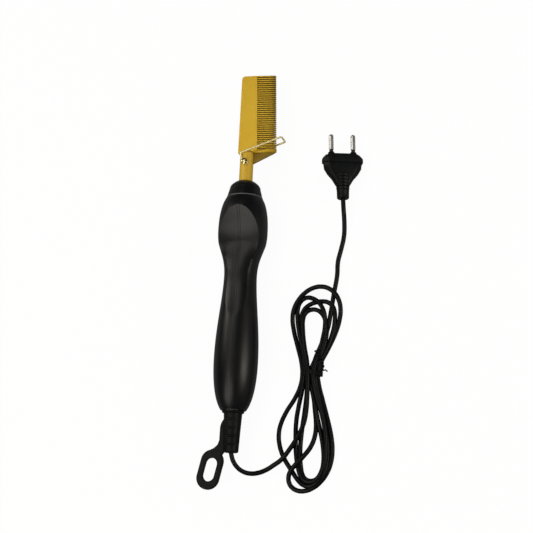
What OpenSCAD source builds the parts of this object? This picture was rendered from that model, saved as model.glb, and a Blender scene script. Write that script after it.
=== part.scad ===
// Electric hot comb: a gold toothed head on a tube neck, a two-part black handle with
// thumb scoops, a swinging wire stand, a swivelling strain relief with a hanging loop,
// and a mains lead tied in a hank that ends in a flat two-pin plug.
// The tool lies level on its bulb and its rear swell. Its axis runs along +Y towards the
// comb's tip, its teeth point to +X, and z = 0 is the table. Tool pieces are drawn about
// the tool's own axis, with y = 0 where the bulb is widest.

/* [Comb head] */
// Length of the toothed head along the tool
head_len = 71; // [50:1:95]
// Distance from the bulb's widest place to the start of the head
head_start = 73.5; // [70:0.5:90]
// Distance from the tool's axis to the head's straight back
back_offset = 7.6; // [6.8:0.1:9]
// Distance from the tool's axis to the tooth roots at the start of the head
root_offset = 9.5; // [8.5:0.1:12]
// Slant of the row of teeth, narrower towards the tip
row_slant = 2.9; // [0:0.1:5]
// Length of a tooth
tooth_len = 16.6; // [10:0.2:22]
// Number of teeth
tooth_count = 35; // [20:1:40]
// Width of a tooth along the row
tooth_w = 1.2; // [0.9:0.05:1.3]
// Width of the solid bar at the start of the row
end_bar = 3.6; // [2:0.1:6]
// Thickness of the head's spine
spine_t = 5.2; // [4.4:0.1:6]
// Thickness of a tooth at its tip
tooth_tip_t = 2.2; // [1.4:0.1:3]
// Corner radius at the tip of the head's back
tip_corner = 3; // [1:0.25:5]
// Thickness of the gusset between neck and head
web_t = 1.8; // [1:0.1:3]

/* [Neck] */
// Outer diameter of the neck tube
neck_d = 11.8; // [11.2:0.1:13]
// Wall of the neck tube
neck_wall = 1.6; // [1.2:0.1:1.8]
// Diameter of the heater cartridge with its sleeve
heater_d = 5.2; // [4:0.1:5.4]
// Length of the heater cartridge
heater_len = 19.4; // [12:0.2:20]
// Diameter of a heater lead
heater_lead_d = 1.2; // [0.8:0.1:1.6]

/* [Stand] */
// Diameter of the stand's wire
wire_d = 1.6; // [1.2:0.1:2.2]
// Distance from the head's start back to the stand's pivot
pivot_back = 9.5; // [8:0.25:12]
// Distance from the pivot to the bend in each leg
knee_reach = 9.3; // [7:0.1:12]
// Direction from the pivot to the bend, from +X
knee_angle = 117; // [100:1:130]
// Length of a leg from its bend to the foot
leg_len = 38.4; // [32:0.2:46]
// Direction of the legs at rest, from +X
leg_angle = 19.9; // [10:0.5:25]
// Length cut off the foot's corners by the wire's bends
foot_cut = 2; // [1:0.25:4]
// Diameter of the pivot screws' heads
pivot_head_d = 5.6; // [5:0.1:7]

/* [Nose] */
// Distance from the bulb's widest place to the front edge of the handle
handle_front = 32.1; // [30:0.1:34]
// Diameter of the handle at its front edge
front_d = 31.6; // [31:0.2:35]
// Length of the domed nose cap that shows
nose_len = 14.4; // [12:0.2:17]
// Width of the trim ring along the tool
trim_w = 1; // [0.6:0.1:2]
// Diameter of the cap's spigot in the handle
spigot_d = 26.6; // [25:0.1:27.4]
// Outer diameter of the heat-resisting bush round the neck
bush_d = 20; // [17:0.2:21]

/* [Handle] */
// Diameter of the bulb
bulb_d = 42.6; // [40:0.2:46]
// Diameter of the waist
waist_d = 28; // [26:0.5:31]
// Diameter of the rear swell, on which the handle lies
swell_d = 37.4; // [35:0.2:39]
// Distance from the bulb's widest place back to the corner behind it
corner_back = 10; // [8:0.5:12]
// Distance from the bulb's widest place back to the waist
waist_back = 36; // [33:0.5:42]
// Distance from the bulb's widest place back to the rear swell
swell_back = 109; // [104:1:114]
// Distance from the bulb's widest place back to the rear end
handle_back = 151.5; // [151:0.25:156]
// Diameter of the rear end
rear_d = 21.6; // [21:0.2:24]
// Thickness across the thumb scoops at their lowest place
scoop_t = 19.6; // [18.4:0.2:22]
// Thickness across the flats at the waist
waist_t = 24.6; // [23:0.2:26]
// Wall of the handle's shells
shell_wall = 2.2; // [1.6:0.1:2.8]
// Width of the groove along the parting line
seam_w = 0.5; // [0.3:0.1:1]
// Depth of the groove along the parting line
seam_depth = 0.45; // [0.2:0.05:0.8]
// Shank diameter of the handle's screws
shell_screw_d = 2.5; // [2:0.1:3]

/* [Swivel] */
// Diameter of the swivel's spindle
spindle_d = 10; // [9:0.2:11]
// Diameter of the swivel's bearing
bearing_d = 17.8; // [16.4:0.2:18.2]
// Length of the bearing
bearing_len = 14.4; // [11:0.2:15]
// Diameter of the slip rings
slip_ring_d = 10; // [9.4:0.2:11]
// Radial play between spindle and bearing
running_gap = 0.06; // [0.03:0.01:0.1]

/* [Strain relief] */
// Length of the strain relief
relief_len = 34.6; // [30:0.2:42]
// Diameter of the strain relief next to the handle
relief_d = 15.4; // [14.6:0.2:18]
// Diameter of the strain relief where the cord leaves
relief_end_d = 12.2; // [11:0.2:14]
// Number of grooves round the relief
relief_grooves = 4; // [2:1:5]
// Depth of a groove
groove_depth = 1; // [0.5:0.1:1.6]
// Thickness of the hanging loop
loop_t = 4.6; // [3.6:0.2:6]
// Width of the hanging loop's hole
loop_hole_w = 10.2; // [8:0.2:12]
// Length of the hanging loop's hole
loop_hole_len = 19.8; // [16:0.2:24]
// Width of the rubber beside the hole
loop_side = 4.6; // [4:0.2:7]
// Width of the rubber at the hole's two ends
loop_end = 6.9; // [5:0.1:10]
// Lean of the hanging loop
loop_lean = 12.5; // [5:0.5:16]

/* [Cord and hank] */
// Diameter of the mains lead
cord_d = 4; // [3.6:0.1:4.4]
// Full turns in the hank, on top of the part turn that brings the lead out
hank_turns = 3; // [2:1:4]
// Reach of the innermost loop above the waist
upper_reach = 62; // [50:1:80]
// Growth of that reach with each turn
upper_reach_step = 9; // [7:0.2:12]
// Reach of the innermost loop below the waist
lower_reach = 88; // [70:1:100]
// Growth of that reach with each turn
lower_reach_step = 7; // [6:0.2:9]
// Bulge of the innermost loop's lobes
lobe_bulge = 17; // [12:1:24]
// Growth of the bulge with each turn
lobe_bulge_step = 14; // [9:1:18]
// Sideways bow of the hank's two ends
hank_bow = 5; // [0:0.5:8]
// Gap between neighbouring strands at the waist
strand_gap = 0.6; // [0.5:0.02:1]

/* [Plug] */
// Width of the plug's flange
plug_w = 35.3; // [32:0.1:37]
// Thickness of the plug's flange
plug_t = 13.7; // [12.6:0.1:15]
// Length of the plug from the cord to its front face
plug_len = 39; // [37:0.5:42]
// Diameter of the two pins
pin_d = 4; // [3.6:0.1:4.8]
// Distance between the pins
pin_pitch = 19; // [17.5:0.1:19.5]
// Length of the pins in front of the plug
pin_len = 19; // [17:0.5:20]
// Length of the sleeves on the pins
sleeve_len = 5; // [4:0.5:11]

/* [Hidden] */
// The driving dimensions end here. What follows is worked out from them.
$fn = 64;

// Clearances
slip = 0.05;        // between pieces that are fixed to each other
play = 0.3;         // between pieces that move past each other
big = 400;          // larger than the whole tool

// Colours, as on the real thing
gold = [0.80, 0.63, 0.20];
wire_gold = [0.92, 0.78, 0.36];
black = [0.09, 0.09, 0.10];
soft_black = [0.12, 0.13, 0.14];
ring_grey = [0.34, 0.36, 0.36];
steel = [0.72, 0.73, 0.75];
copper = [0.78, 0.52, 0.30];
brass = [0.83, 0.70, 0.38];
ceramic = [0.90, 0.88, 0.82];
mica = [0.70, 0.62, 0.45];
insulation = [0.85, 0.85, 0.80];

// Comb head
neck_r = neck_d / 2;
neck_bore_r = neck_r - neck_wall;
tang_r = neck_bore_r - slip;
head_end = head_start + head_len;
tooth_pitch = (head_len - end_bar) / tooth_count;
pivot_y = head_start - pivot_back;
function root_x(y) = root_offset - (y - head_start) * tan(row_slant);
function tooth_tip_x(y) = root_x(y) + tooth_len;

// Neck and heater
heater_end = head_start - 2;
heater_start = heater_end - heater_len;
tang_start = heater_start;
bead_len = 5.9;
bead_start = heater_start - bead_len - slip;
core_r = heater_d / 2 - 0.45;
lead_z = 1.5;

// Handle's front, from the neck's flange forwards
cap_start = handle_front + trim_w + 2 * slip;
nose_end = cap_start + nose_len;
flange_len = 1.5;
spigot_len = 5;
spigot_start = cap_start - spigot_len;
flange_start = spigot_start - slip - flange_len;
shield_len = 0.8;
shield_start = flange_start - slip - shield_len;
front_bore_start = shield_start - slip;
bulkhead_len = 5.7;
cavity_front = front_bore_start - bulkhead_len;
front_bore_r = spigot_d / 2 + slip;
wire_bore_r = 4;
neck_start = flange_start;
bush_end = nose_end - 4.1;

// Handle
axis_z = swell_d / 2;
bulb_r = bulb_d / 2;
waist_r = waist_d / 2;
swell_r = swell_d / 2;
rear_r = rear_d / 2;
front_r = front_d / 2;
corner_r = bulb_r - 1.4;
curve_steps = 7;
dish_back = 7;
fade_back = 84;
cavity_back = -131;
shell_screws = [[12, 9], [12, -9], [-52, 0], [-90, 0]];   // along the tool, height
screw_ledge = 6;
screw_bite = 8;
screw_head_h = 1.7;
screw_r = shell_screw_d / 2;
screw_head_r = 2 * screw_r + 0.1;
boss_r = screw_head_r + 1.1;
boss_skin = 0.9;

// Swivel
spindle_r = spindle_d / 2;
bearing_r = bearing_d / 2;
bearing_rear = -handle_back + 1.1;
bearing_front = bearing_rear + bearing_len;
bearing_flange_len = 2.5;
bearing_flange_r = bearing_r + 1.5;
clip_len = 1.5;
clip_start = bearing_front + play;
clip_r = 7.5;
hub_r = slip_ring_d / 2 - 1;
clip_groove_r = hub_r - 0.6;
slip_ring_len = 4;
slip_ring_gap = 5;
slip_ring_starts = [
    bearing_front + slip_ring_gap,
    bearing_front + 2 * slip_ring_gap + slip_ring_len
];
hub_end = slip_ring_starts[1] + slip_ring_len + slip_ring_gap - 1;
holder_start = -106;
holder_len = 6;
holder_r = swell_r - shell_wall - 0.5;
leaf_t = 0.4;
leaf_w = 3;
leaf_z = slip_ring_d / 2 + 0.25;
wire_r = 0.85;
wire_z = leaf_z + leaf_t / 2;

// Strain relief
relief_front = -handle_back - play - 0.3;
relief_rear = relief_front - relief_len;
relief_collar_r = relief_d / 2 + 1.6;
collar_len = 1.6;
spindle_rear = relief_front - 16;
tail_depth = 4;                   // from the bearing's front back to the lead's end
core_bore_r = 1.7;
copper_r = 0.6;
copper_x = 1.05;
hub_wall = 2;
cord_r = cord_d / 2;
first_groove = relief_front - 7.4;
groove_pitch = 6.9;
groove_w = 1.5;
loop_x = -17.1;
loop_drop = 14.3;                 // from the relief's end to the middle of the loop
loop_y = relief_rear - loop_drop;
arm_left = -10.2;
arm_top = relief_front - 6.5;
loop_hole_r = loop_hole_w / 2;
loop_hole_half = loop_hole_len / 2 - loop_hole_r;
loop_r = loop_hole_r + loop_side;
loop_half = loop_hole_len / 2 + loop_end - loop_r;
loop_x_low = loop_x - loop_r - loop_half * sin(loop_lean);
loop_y_low = loop_y - loop_half * cos(loop_lean) - loop_r;

// Stand
eye_t = wire_d + 0.1;
joint_fat = wire_d / 2 + 0.05;      // a bend, drawn as a slightly fuller ball
leg_z = neck_r + play - 0.05 + eye_t / 2;
eye_bore_r = 1.32;
pivot_shank_r = eye_bore_r - 0.07;
eye_r = 2.7;
knee = knee_reach * [cos(knee_angle), sin(knee_angle)];
foot = knee + leg_len * [cos(leg_angle), sin(leg_angle)];
stand_x_high = foot[0] + wire_d / 2;

// The frame's origin is under the middle of the object, its cord left out
tool_x = -(stand_x_high + loop_x_low) / 2;
tool_y = -(head_end + loop_y_low) / 2;

// Cord on the table. Points are about the tool's foot on the table, y = 0 at the bulb.
lead_exit = [0, relief_rear, axis_z];
lead_points = [
    lead_exit,
    [0.6, relief_rear - cord_d + 0.2, 18], [2.3, -195.1, 16.6], [5.4, -199.2, 14.2],
    [9.9, -202, 11.2], [15.3, -202.8, 7.8], [21.4, -201.4, 4.7], [26.4, -198.9, 3.1],
    [31, -196.9, 2.7], [35.8, -193.8, 2.7], [39.8, -189.5, 2.7], [42.8, -184.3, 2.7]
];
tie_t = 0.6;
tie_room = 0.7;      // beside the strands, which bow out between two rings of the tube
hank_z = tie_t + 0.1 + cord_r;
hank_at = [62.6, -119.5];
hank_lean = -1;
strand_step = cord_d + strand_gap;
hank_start = -35;
hank_stop = 360 * hank_turns + 78;
hank_back = (hank_start + hank_stop) / 2;   // the angle where the spiral turns round
waist_inner = 1.6;
loop_rings = 24;

plug_at = [85, 32.5];
plug_turn = 3;
plug_roll = 20;                   // the plug leans on one edge of its flange
plug_flat_w = 26.1;
plug_ear_t = 4.5;
plug_z = plug_flat_w / 2 * sin(plug_roll) + plug_t / 2 * cos(plug_roll);
plug_exit = [plug_at[0], plug_at[1], plug_z];
plug_dir = [-sin(plug_turn), cos(plug_turn), 0];

// Plug, from its cord end
flange_t = 7.6;
boss_len = 3;
insert_len = 7.4;
insert_start = plug_len - 5 - insert_len;
insert_w = pin_pitch + 7;
insert_t = 8;
plug_relief_len = 14;
pin_root_r = pin_d / 2 - 0.8;
sleeve_r = pin_d / 2 - 0.3;
pin_root = insert_start + 1;
sleeve_start = insert_start + insert_len + slip;
pin_end = plug_len + pin_len;
sleeve_end = plug_len + sleeve_len;

// ---------------------------------------------------------------- curves and helpers

// Points on a cubic curve, the first left out so that curves chain
function curve(a, b, c, d, n = curve_steps) = [
    for (i = [1 : n]) let (t = i / n, s = 1 - t)
        s * s * s * a + 3 * s * s * t * b + 3 * s * t * t * c + t * t * t * d
];

// The handle's side outline as [radius, y], from its front edge to its rear end
function side_outline() = let (
    front = [front_r, handle_front],
    crown = [bulb_r, 3],
    corner = [corner_r, -corner_back],
    waist = [waist_r, -waist_back],
    swell = [swell_r, -swell_back],
    rear = [rear_r, -handle_back])
    concat(
        [front],
        curve(front, [bulb_r - 1.2, 25], [bulb_r, 14], crown),
        curve(crown, [bulb_r, -2], [corner_r + 1, 3 - corner_back], corner, 3),
        curve(corner, [corner_r - 2.6, -corner_back - 8], [waist_r + 0.2, -corner_back - 14], waist),
        curve(waist, [waist_r, -waist_back - 22], [swell_r, -swell_back + 29], swell),
        curve(swell, [swell_r, -swell_back - 17], [rear_r + 5.9, -handle_back + 8.5], rear)
    );

// Half the thickness left by the scoops as [y, z], from the arch to where it fades out
function scoop_outline() = let (
    arch = [26.6, swell_r],
    dish = [-dish_back, scoop_t / 2],
    waist = [-waist_back, waist_t / 2],
    fade = [-fade_back, swell_r])
    concat(
        [[bulb_r + 6, swell_r + 14], arch],
        curve(arch, [14, swell_r - 0.3], [5, scoop_t / 2 + 1], dish),
        curve(dish, [-dish_back - 6, scoop_t / 2 - 0.2], [-waist_back + 12, waist_t / 2], waist),
        curve(waist, [-waist_back - 16, waist_t / 2], [-waist_back - 30, waist_t / 2 + 3], fade),
        [[-fade_back - 8, swell_r + 14]]
    );

module tool() {
    translate([tool_x, tool_y, axis_z]) children();
}

// Turns a profile of [radius, y] about the tool's axis
module turned(points) {
    rotate([-90, 0, 0]) rotate_extrude($fn = 96) polygon(points);
}

// A disc or tube about the tool's axis from y = a to y = b
module ring(r, a, b, hole = 0) {
    translate([0, b, 0]) rotate([90, 0, 0]) difference() {
        cylinder(r = r, h = b - a);
        if (hole > 0) translate([0, 0, -1]) cylinder(r = hole, h = b - a + 2);
    }
}

// A round bar along the tool at x, z
module bar(r, a, b, x = 0, z = 0) {
    translate([x, b, z]) rotate([90, 0, 0]) cylinder(r = r, h = b - a, $fn = 24);
}

// A round rod through a list of points, with slightly fuller ball joints
module rod(points, r) {
    for (i = [0 : len(points) - 2]) {
        span = points[i + 1] - points[i];
        translate(points[i])
            rotate([0, acos(span[2] / norm(span)), atan2(span[1], span[0])])
                cylinder(r = r, h = norm(span), $fn = 24);
        if (i > 0) translate(points[i]) sphere(r = r + 0.05, $fn = 32);
    }
}

// ---------------------------------------------------------------- the swept cord

function unit(v) = v / norm(v);

// A smooth curve through all points, n pieces to each span
function smooth(p, n) = let (last = len(p) - 1) concat(
    [for (i = [0 : last - 1]) each let (
        a = p[max(i - 1, 0)], b = p[i], c = p[i + 1], d = p[min(i + 2, last)])
        [for (k = [0 : n - 1]) let (t = k / n)
            0.5 * (2 * b + (c - a) * t + (2 * a - 5 * b + 4 * c - d) * t * t
            + (3 * b - a - 3 * c + d) * t * t * t)]],
    [p[last]]);

function heading(p, i) = unit(p[min(i + 1, len(p) - 1)] - p[max(i - 1, 0)]);

function ring_points(at, dir, r, sides) = let (
    side = unit(cross(dir, [0, 0, 1])),
    up = cross(side, dir))
    [for (k = [0 : sides - 1]) let (a = 360 * (k + 0.5) / sides)
        at + r * (cos(a) * side + sin(a) * up)];

// One closed tube along the points. Its end faces are square to the two given headings.
module tube(p, r, sides, start_dir, stop_dir) {
    n = len(p);
    rings = [for (i = [0 : n - 1])
        each ring_points(p[i], i == 0 ? start_dir : i == n - 1 ? stop_dir : heading(p, i), r, sides)];
    walls = [for (i = [0 : n - 2], k = [0 : sides - 1]) let (
        a = i * sides + k, b = i * sides + (k + 1) % sides)
        each [[a, b, b + sides], [a, b + sides, a + sides]]];
    start_cap = [for (k = [1 : sides - 2]) [0, k + 1, k]];
    end_cap = [for (k = [1 : sides - 2]) let (e = (n - 1) * sides) [e, e + k, e + k + 1]];
    polyhedron(points = rings, faces = concat(walls, start_cap, end_cap));
}

// The hank: loops drawn in at the waist, spiralling in on the lower layer and out again
// on the upper one. The angle is 0 at the waist going up its left side.
function hank_rank(a) = let (d = (a - hank_back) / 360) sqrt(d * d + 0.01);
function hank_layer(a) = let (t = min(max((a - hank_back) / 180 + 0.5, 0), 1)) t * t * (3 - 2 * t);
function hank_waist(a) = waist_inner + strand_step * hank_rank(a);
function hank_point(a) = let (
    k = hank_rank(a),
    end = sin(a) * sin(a),
    reach = sin(a) > 0 ? upper_reach + upper_reach_step * k : lower_reach + lower_reach_step * k,
    across = hank_bow * end - cos(a) * (hank_waist(a) + (lobe_bulge + lobe_bulge_step * k) * end),
    along = reach * sin(a),
    c = cos(hank_lean), s = sin(hank_lean))
    [hank_at[0] + across * c - along * s, hank_at[1] + across * s + along * c,
        hank_z + strand_step * hank_layer(a)];
function hank_heading(a) = unit(hank_point(a + 0.5) - hank_point(a - 0.5));
function hank_line(rings) = let (
    n = round((hank_stop - hank_start) / 360 * rings),
    first = hank_point(hank_start), last = hank_point(hank_stop))
    concat(
        [first - cord_d * hank_heading(hank_start)],
        [for (i = [0 : n]) hank_point(hank_start + (hank_stop - hank_start) * i / n)],
        [last + cord_d * hank_heading(hank_stop)]);
hank_path = hank_line(loop_rings);
hank_first = hank_path[0];
hank_last = hank_path[len(hank_path) - 1];
hank_out = hank_heading(hank_stop);

// Least gap of the hank to itself, measured between points more than a quarter loop apart
gap_rings = 60;
gap_line = hank_line(gap_rings);
hank_gap = min([for (i = [0 : len(gap_line) - 1], j = [i + 15 : 1 : len(gap_line) - 1])
    norm(gap_line[i] - gap_line[j])]) - cord_d;

lead_line = smooth(concat(lead_points, [hank_first]), 3);
plug_lead_points = [
    hank_last,
    hank_last + cord_d * hank_out,
    [71.3, -38.6, 6.6], [76, -34.2, 5.1], [79.4, -28, 3.6], [81.8, -19.5, 2.4], [83.8, -10, 2.02],
    [85.3, 0, 2.6], [85.9, 8.5, 4.6], [85.9, 16, 7.2], [85.7, 22.8, 9.6],
    plug_exit - 1.05 * cord_d * plug_dir,
    plug_exit
];
plug_lead_line = smooth(plug_lead_points, 3);
function run(p) = len(p) < 2 ? 0 : let (d = [for (i = [1 : len(p) - 1]) norm(p[i] - p[i - 1])])
    d * [for (x = d) 1];

echo(hank_gap = hank_gap, lead = run(lead_line), hank = run(hank_line(gap_rings)),
    plug_lead = run(plug_lead_line));
echo(tool_at = [tool_x, tool_y, axis_z], pivot = [tool_x, tool_y + pivot_y, axis_z],
    hank_first = hank_first, hank_last = hank_last);

module on_table() {
    translate([tool_x, tool_y, 0]) children();
}

// ---------------------------------------------------------------- comb head and neck

module head_outline() {
    corner = [for (a = [180 : -15 : 90])
        [-back_offset + tip_corner * (1 + cos(a)), head_end + tip_corner * (sin(a) - 1)]];
    polygon(concat(
        [[-back_offset, head_start]],
        corner,
        [[root_x(head_end), head_end], [root_x(head_start), head_start]]));
    for (i = [1 : tooth_count]) {
        y = head_start + end_bar + i * tooth_pitch - tooth_w;
        translate([root_x(y) - 1, y]) square([tooth_len + 1, tooth_w]);
    }
    translate([root_x(head_start) - 1, head_start]) square([tooth_len + 1, end_bar]);
}

// Cross-section of the head: a round back, a flat spine and wedge-shaped teeth
module head_section() {
    half = spine_t / 2;
    translate([-back_offset + half, 0]) circle(r = half);
    polygon([
        [-back_offset + half, -half], [root_x(head_end), -half],
        [tooth_tip_x(head_start) + 0.5, -tooth_tip_t / 2],
        [tooth_tip_x(head_start) + 0.5, tooth_tip_t / 2],
        [root_x(head_end), half], [-back_offset + half, half]
    ]);
}

module comb_head() {
    color(gold) tool() difference() {
        union() {
            intersection() {
                translate([0, 0, -spine_t]) linear_extrude(2 * spine_t) head_outline();
                translate([0, head_end + 1, 0]) rotate([90, 0, 0])
                    linear_extrude(head_len + 2) head_section();
            }
            ring(tang_r, tang_start, head_start + 0.5);
            turned([[0, head_start], [neck_r, head_start], [neck_r, head_start + 0.8],
                [spine_t / 2, head_start + 3.2], [0, head_start + 3.2]]);
            linear_extrude(web_t, center = true) polygon([
                [neck_r + slip, head_start + 0.5],
                [tooth_tip_x(head_start) - 0.6, head_start + 0.5],
                [tooth_tip_x(head_start) - 1.6, head_start - 0.8],
                [neck_r + slip, pivot_y - 0.4]
            ]);
        }
        ring(heater_d / 2 + slip, tang_start - 1, heater_end + slip);
        translate([0, pivot_y, 0]) cylinder(r = pivot_shank_r + slip, h = 2 * neck_r, center = true);
    }
}

module neck_tube() {
    color(gold) tool() difference() {
        ring(neck_r, neck_start, head_start - slip, neck_bore_r);
        translate([0, pivot_y, 0]) cylinder(r = pivot_shank_r + slip, h = 3 * neck_r, center = true);
    }
}

module heater_core() {
    color(ceramic) tool() ring(core_r, heater_start, heater_end);
}

module heater_sleeve() {
    color(mica) tool() ring(heater_d / 2, heater_start, heater_end, core_r + slip);
}

module heater_bead() {
    color(ceramic) tool() difference() {
        ring(tang_r, bead_start, bead_start + bead_len);
        for (side = [-1, 1])
            bar(heater_lead_d / 2 + slip, bead_start - 1, bead_start + bead_len + 1, 0, side * lead_z);
    }
}

fuse_front = 16;
fuse_back = 6;
joint_back = -2;
fuse_r = 1.6;
joint_r = 1.8;

module heater_leads() {
    color(steel) tool() {
        bar(heater_lead_d / 2, fuse_front + slip, heater_start - slip, 0, lead_z);
        bar(heater_lead_d / 2, fuse_back + slip, heater_start - slip, 0, -lead_z);
    }
}

module thermal_fuse() {
    color(steel) tool() bar(fuse_r, fuse_back + slip, fuse_front, 0, fuse_r + 0.1);
}

module wire_joints() {
    color(insulation) tool() for (side = [-1, 1])
        bar(joint_r, joint_back, fuse_back, 0, side * (joint_r + 0.1));
}

module lead_wires() {
    color(insulation) tool() for (side = [-1, 1])
        rod([
            [0, joint_back - slip, side * (joint_r + 0.1)],
            [0, joint_back - 3, side * (joint_r + 0.1)],
            [0, joint_back - 12, side * wire_z],
            [0, holder_start + holder_len + 2 + slip, side * wire_z]
        ], wire_r);
}

// ---------------------------------------------------------------- stand

module stand_screws() {
    color(wire_gold) tool() translate([0, pivot_y, 0]) for (side = [0, 1])
        mirror([0, 0, side]) difference() {
            union() {
                translate([0, 0, heater_d / 2 + 0.4])
                    cylinder(r = pivot_shank_r, h = leg_z + eye_t / 2 + slip - heater_d / 2);
                translate([0, 0, leg_z + eye_t / 2 + slip]) {
                    cylinder(r = pivot_head_d / 2, h = 0.8);
                    translate([0, 0, 0.8]) cylinder(r1 = pivot_head_d / 2, r2 = pivot_head_d / 2 - 0.9, h = 0.8);
                }
            }
            for (turn = [0, 90]) rotate([0, 0, turn + 35])
                translate([0, 0, leg_z + eye_t / 2 + 1.3]) cube([2.8, 0.6, 1.4], center = true);
        }
}

// One leg, from its eye to the knee and on to the corner of the foot
module stand_leg() {
    straight = leg_len - foot_cut;
    translate([0, 0, leg_z]) {
        difference() {
            union() {
                cylinder(r = eye_r, h = eye_t, center = true);
                rotate([0, 90, knee_angle]) cylinder(r = wire_d / 2, h = knee_reach, $fn = 24);
            }
            cylinder(r = eye_bore_r, h = 3 * wire_d, center = true);
        }
        translate([knee[0], knee[1], 0]) {
            rotate([90, 0, 0]) sphere(r = joint_fat, $fn = 32);
            rotate([0, 90, leg_angle]) cylinder(r = wire_d / 2, h = straight, $fn = 24);
            rotate([0, 0, leg_angle]) translate([straight, 0, 0]) {
                sphere(r = joint_fat, $fn = 32);
                rotate([0, 135, 0]) cylinder(r = wire_d / 2, h = foot_cut * sqrt(2), $fn = 24);
            }
        }
        translate([foot[0], foot[1], -foot_cut]) sphere(r = joint_fat, $fn = 32);
    }
}

module stand_wire() {
    color(wire_gold) tool() translate([0, pivot_y, 0]) {
        for (side = [0, 1]) mirror([0, 0, side]) stand_leg();
        translate([foot[0], foot[1], 0])
            cylinder(r = wire_d / 2, h = 2 * (leg_z - foot_cut), center = true, $fn = 24);
    }
}

// ---------------------------------------------------------------- nose

module neck_flange() {
    color(steel) tool() ring(front_bore_r - 0.5, flange_start, flange_start + flange_len, neck_r + slip);
}

module heat_shield() {
    color(mica) tool() ring(front_bore_r - 0.5, shield_start, shield_start + shield_len, wire_bore_r);
}

module insulator_bush() {
    color(ceramic) tool() ring(bush_d / 2, spigot_start, bush_end, neck_r + slip);
}

module nose_cap() {
    mouth_r = neck_r + 0.2;
    shoulder_r = front_r - 2.4;
    dome = curve([front_r - 0.6, cap_start], [front_r - 1.7, cap_start + 5],
        [shoulder_r, nose_end - 7.5], [shoulder_r - 0.3, nose_end - 5.6], 4);
    crown = curve([shoulder_r - 0.3, nose_end - 5.6], [shoulder_r - 0.9, nose_end - 3.7],
        [mouth_r + 2.8, nose_end - 0.6], [mouth_r + 0.6, nose_end], 6);
    color(black) tool() difference() {
        union() {
            turned(concat([[0, cap_start], [front_r - 0.6, cap_start]], dome, crown, [[0, nose_end]]));
            ring(spigot_d / 2, spigot_start, cap_start + 1);
        }
        ring(bush_d / 2 + slip, spigot_start - 1, bush_end + slip);
        ring(mouth_r, bush_end - 1, nose_end + 1);
    }
}

module trim_ring() {
    color(ring_grey) tool()
        ring(front_r - 0.15, handle_front + slip, handle_front + slip + trim_w, spigot_d / 2 + slip);
}

// ---------------------------------------------------------------- handle

// The handle's outer form, or the same form smaller by inset
module handle_form(inset = 0, front = handle_front, back = -handle_back) {
    side = side_outline();
    cut = scoop_outline();
    intersection() {
        turned(concat([[0, handle_front]], [for (p = side) [p[0] - inset, p[1]]], [[0, -handle_back]]));
        rotate([90, 0, 90]) linear_extrude(3 * bulb_r, center = true) polygon(concat(
            [[handle_front + 9, swell_r + 14]],
            [for (p = cut) [p[0], p[1] - inset]],
            [[-handle_back - 9, swell_r + 14], [-handle_back - 9, -swell_r - 14]],
            [for (i = [len(cut) - 1 : -1 : 0]) [cut[i][0], inset - cut[i][1]]],
            [[handle_front + 9, -swell_r - 14]]));
        if (inset > 0) translate([-big / 2, back, -big / 2]) cube([big, front - back, big]);
    }
}

// A cylinder across the handle at a screw's place, from x = a to x = b
module across(place, r, a, b) {
    translate([a, place[0], place[1]]) rotate([0, 90, 0]) cylinder(r = r, h = b - a, $fn = 32);
}

// One shell of the handle: side -1 is left, 1 is right
module handle_shell(side) {
    difference() {
        intersection() {
            union() {
                difference() {
                    handle_form();
                    handle_form(shell_wall, cavity_front, cavity_back);
                }
                intersection() {
                    handle_form(boss_skin, cavity_front + 1, cavity_back - 1);
                    for (s = shell_screws) across(s, boss_r, -bulb_r, bulb_r);
                }
            }
            translate([side > 0 ? 0 : -big, -big, -big / 2]) cube([big, 2 * big, big]);
        }
        // groove along the parting line
        difference() {
            translate([-seam_w / 2, -big, -big / 2]) cube([seam_w, 2 * big, big]);
            handle_form(seam_depth);
            ring(front_bore_r + 0.8, handle_front - 8, handle_front + 1);
            ring(bearing_r + 0.8, -handle_back - 1, -handle_back + 9);
        }
        // seats of the nose and of the swivel's bearing
        ring(front_bore_r, front_bore_start, handle_front + 1);
        ring(wire_bore_r, cavity_front - 1, front_bore_start + 1);
        ring(bearing_r + slip, -handle_back - 1, bearing_front);
        ring(bearing_flange_r + slip, bearing_front - bearing_flange_len - slip, bearing_front + slip);
        ring(clip_r + 0.6, bearing_front - 1, cavity_back + 1);
        // screws are driven from the left
        for (s = shell_screws) {
            across(s, screw_head_r + slip, -big / 2, -screw_ledge);
            across(s, screw_r + slip, -screw_ledge - 1, screw_bite + 0.5);
        }
    }
}

module handle_left() {
    color(black) tool() handle_shell(-1);
}

module handle_right() {
    color(black) tool() handle_shell(1);
}

module handle_screws() {
    color(steel) tool() for (s = shell_screws) difference() {
        union() {
            across(s, screw_r, -screw_ledge - 0.5, screw_bite);
            across(s, screw_head_r - 0.1, -screw_ledge - screw_head_h, -screw_ledge - slip);
        }
        for (turn = [0, 90]) translate([-screw_ledge - screw_head_h, s[0], s[1]])
            rotate([turn, 0, 0]) cube([1.8, 0.6, 3], center = true);
    }
}

// ---------------------------------------------------------------- swivel

module swivel_bearing() {
    color(insulation) tool() difference() {
        union() {
            ring(bearing_r, bearing_rear, bearing_front);
            ring(bearing_flange_r, bearing_front - bearing_flange_len, bearing_front);
        }
        ring(spindle_r + running_gap, bearing_rear - 1, bearing_front + 1);
    }
}

module contact_holder() {
    color(black) tool() difference() {
        ring(holder_r, holder_start, holder_start + holder_len);
        for (side = [-1, 1]) translate([0, holder_start + holder_len / 2, side * wire_z])
            cube([leaf_w + 2 * slip, 2 * holder_len, leaf_t + 2 * slip], center = true);
    }
}

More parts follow.
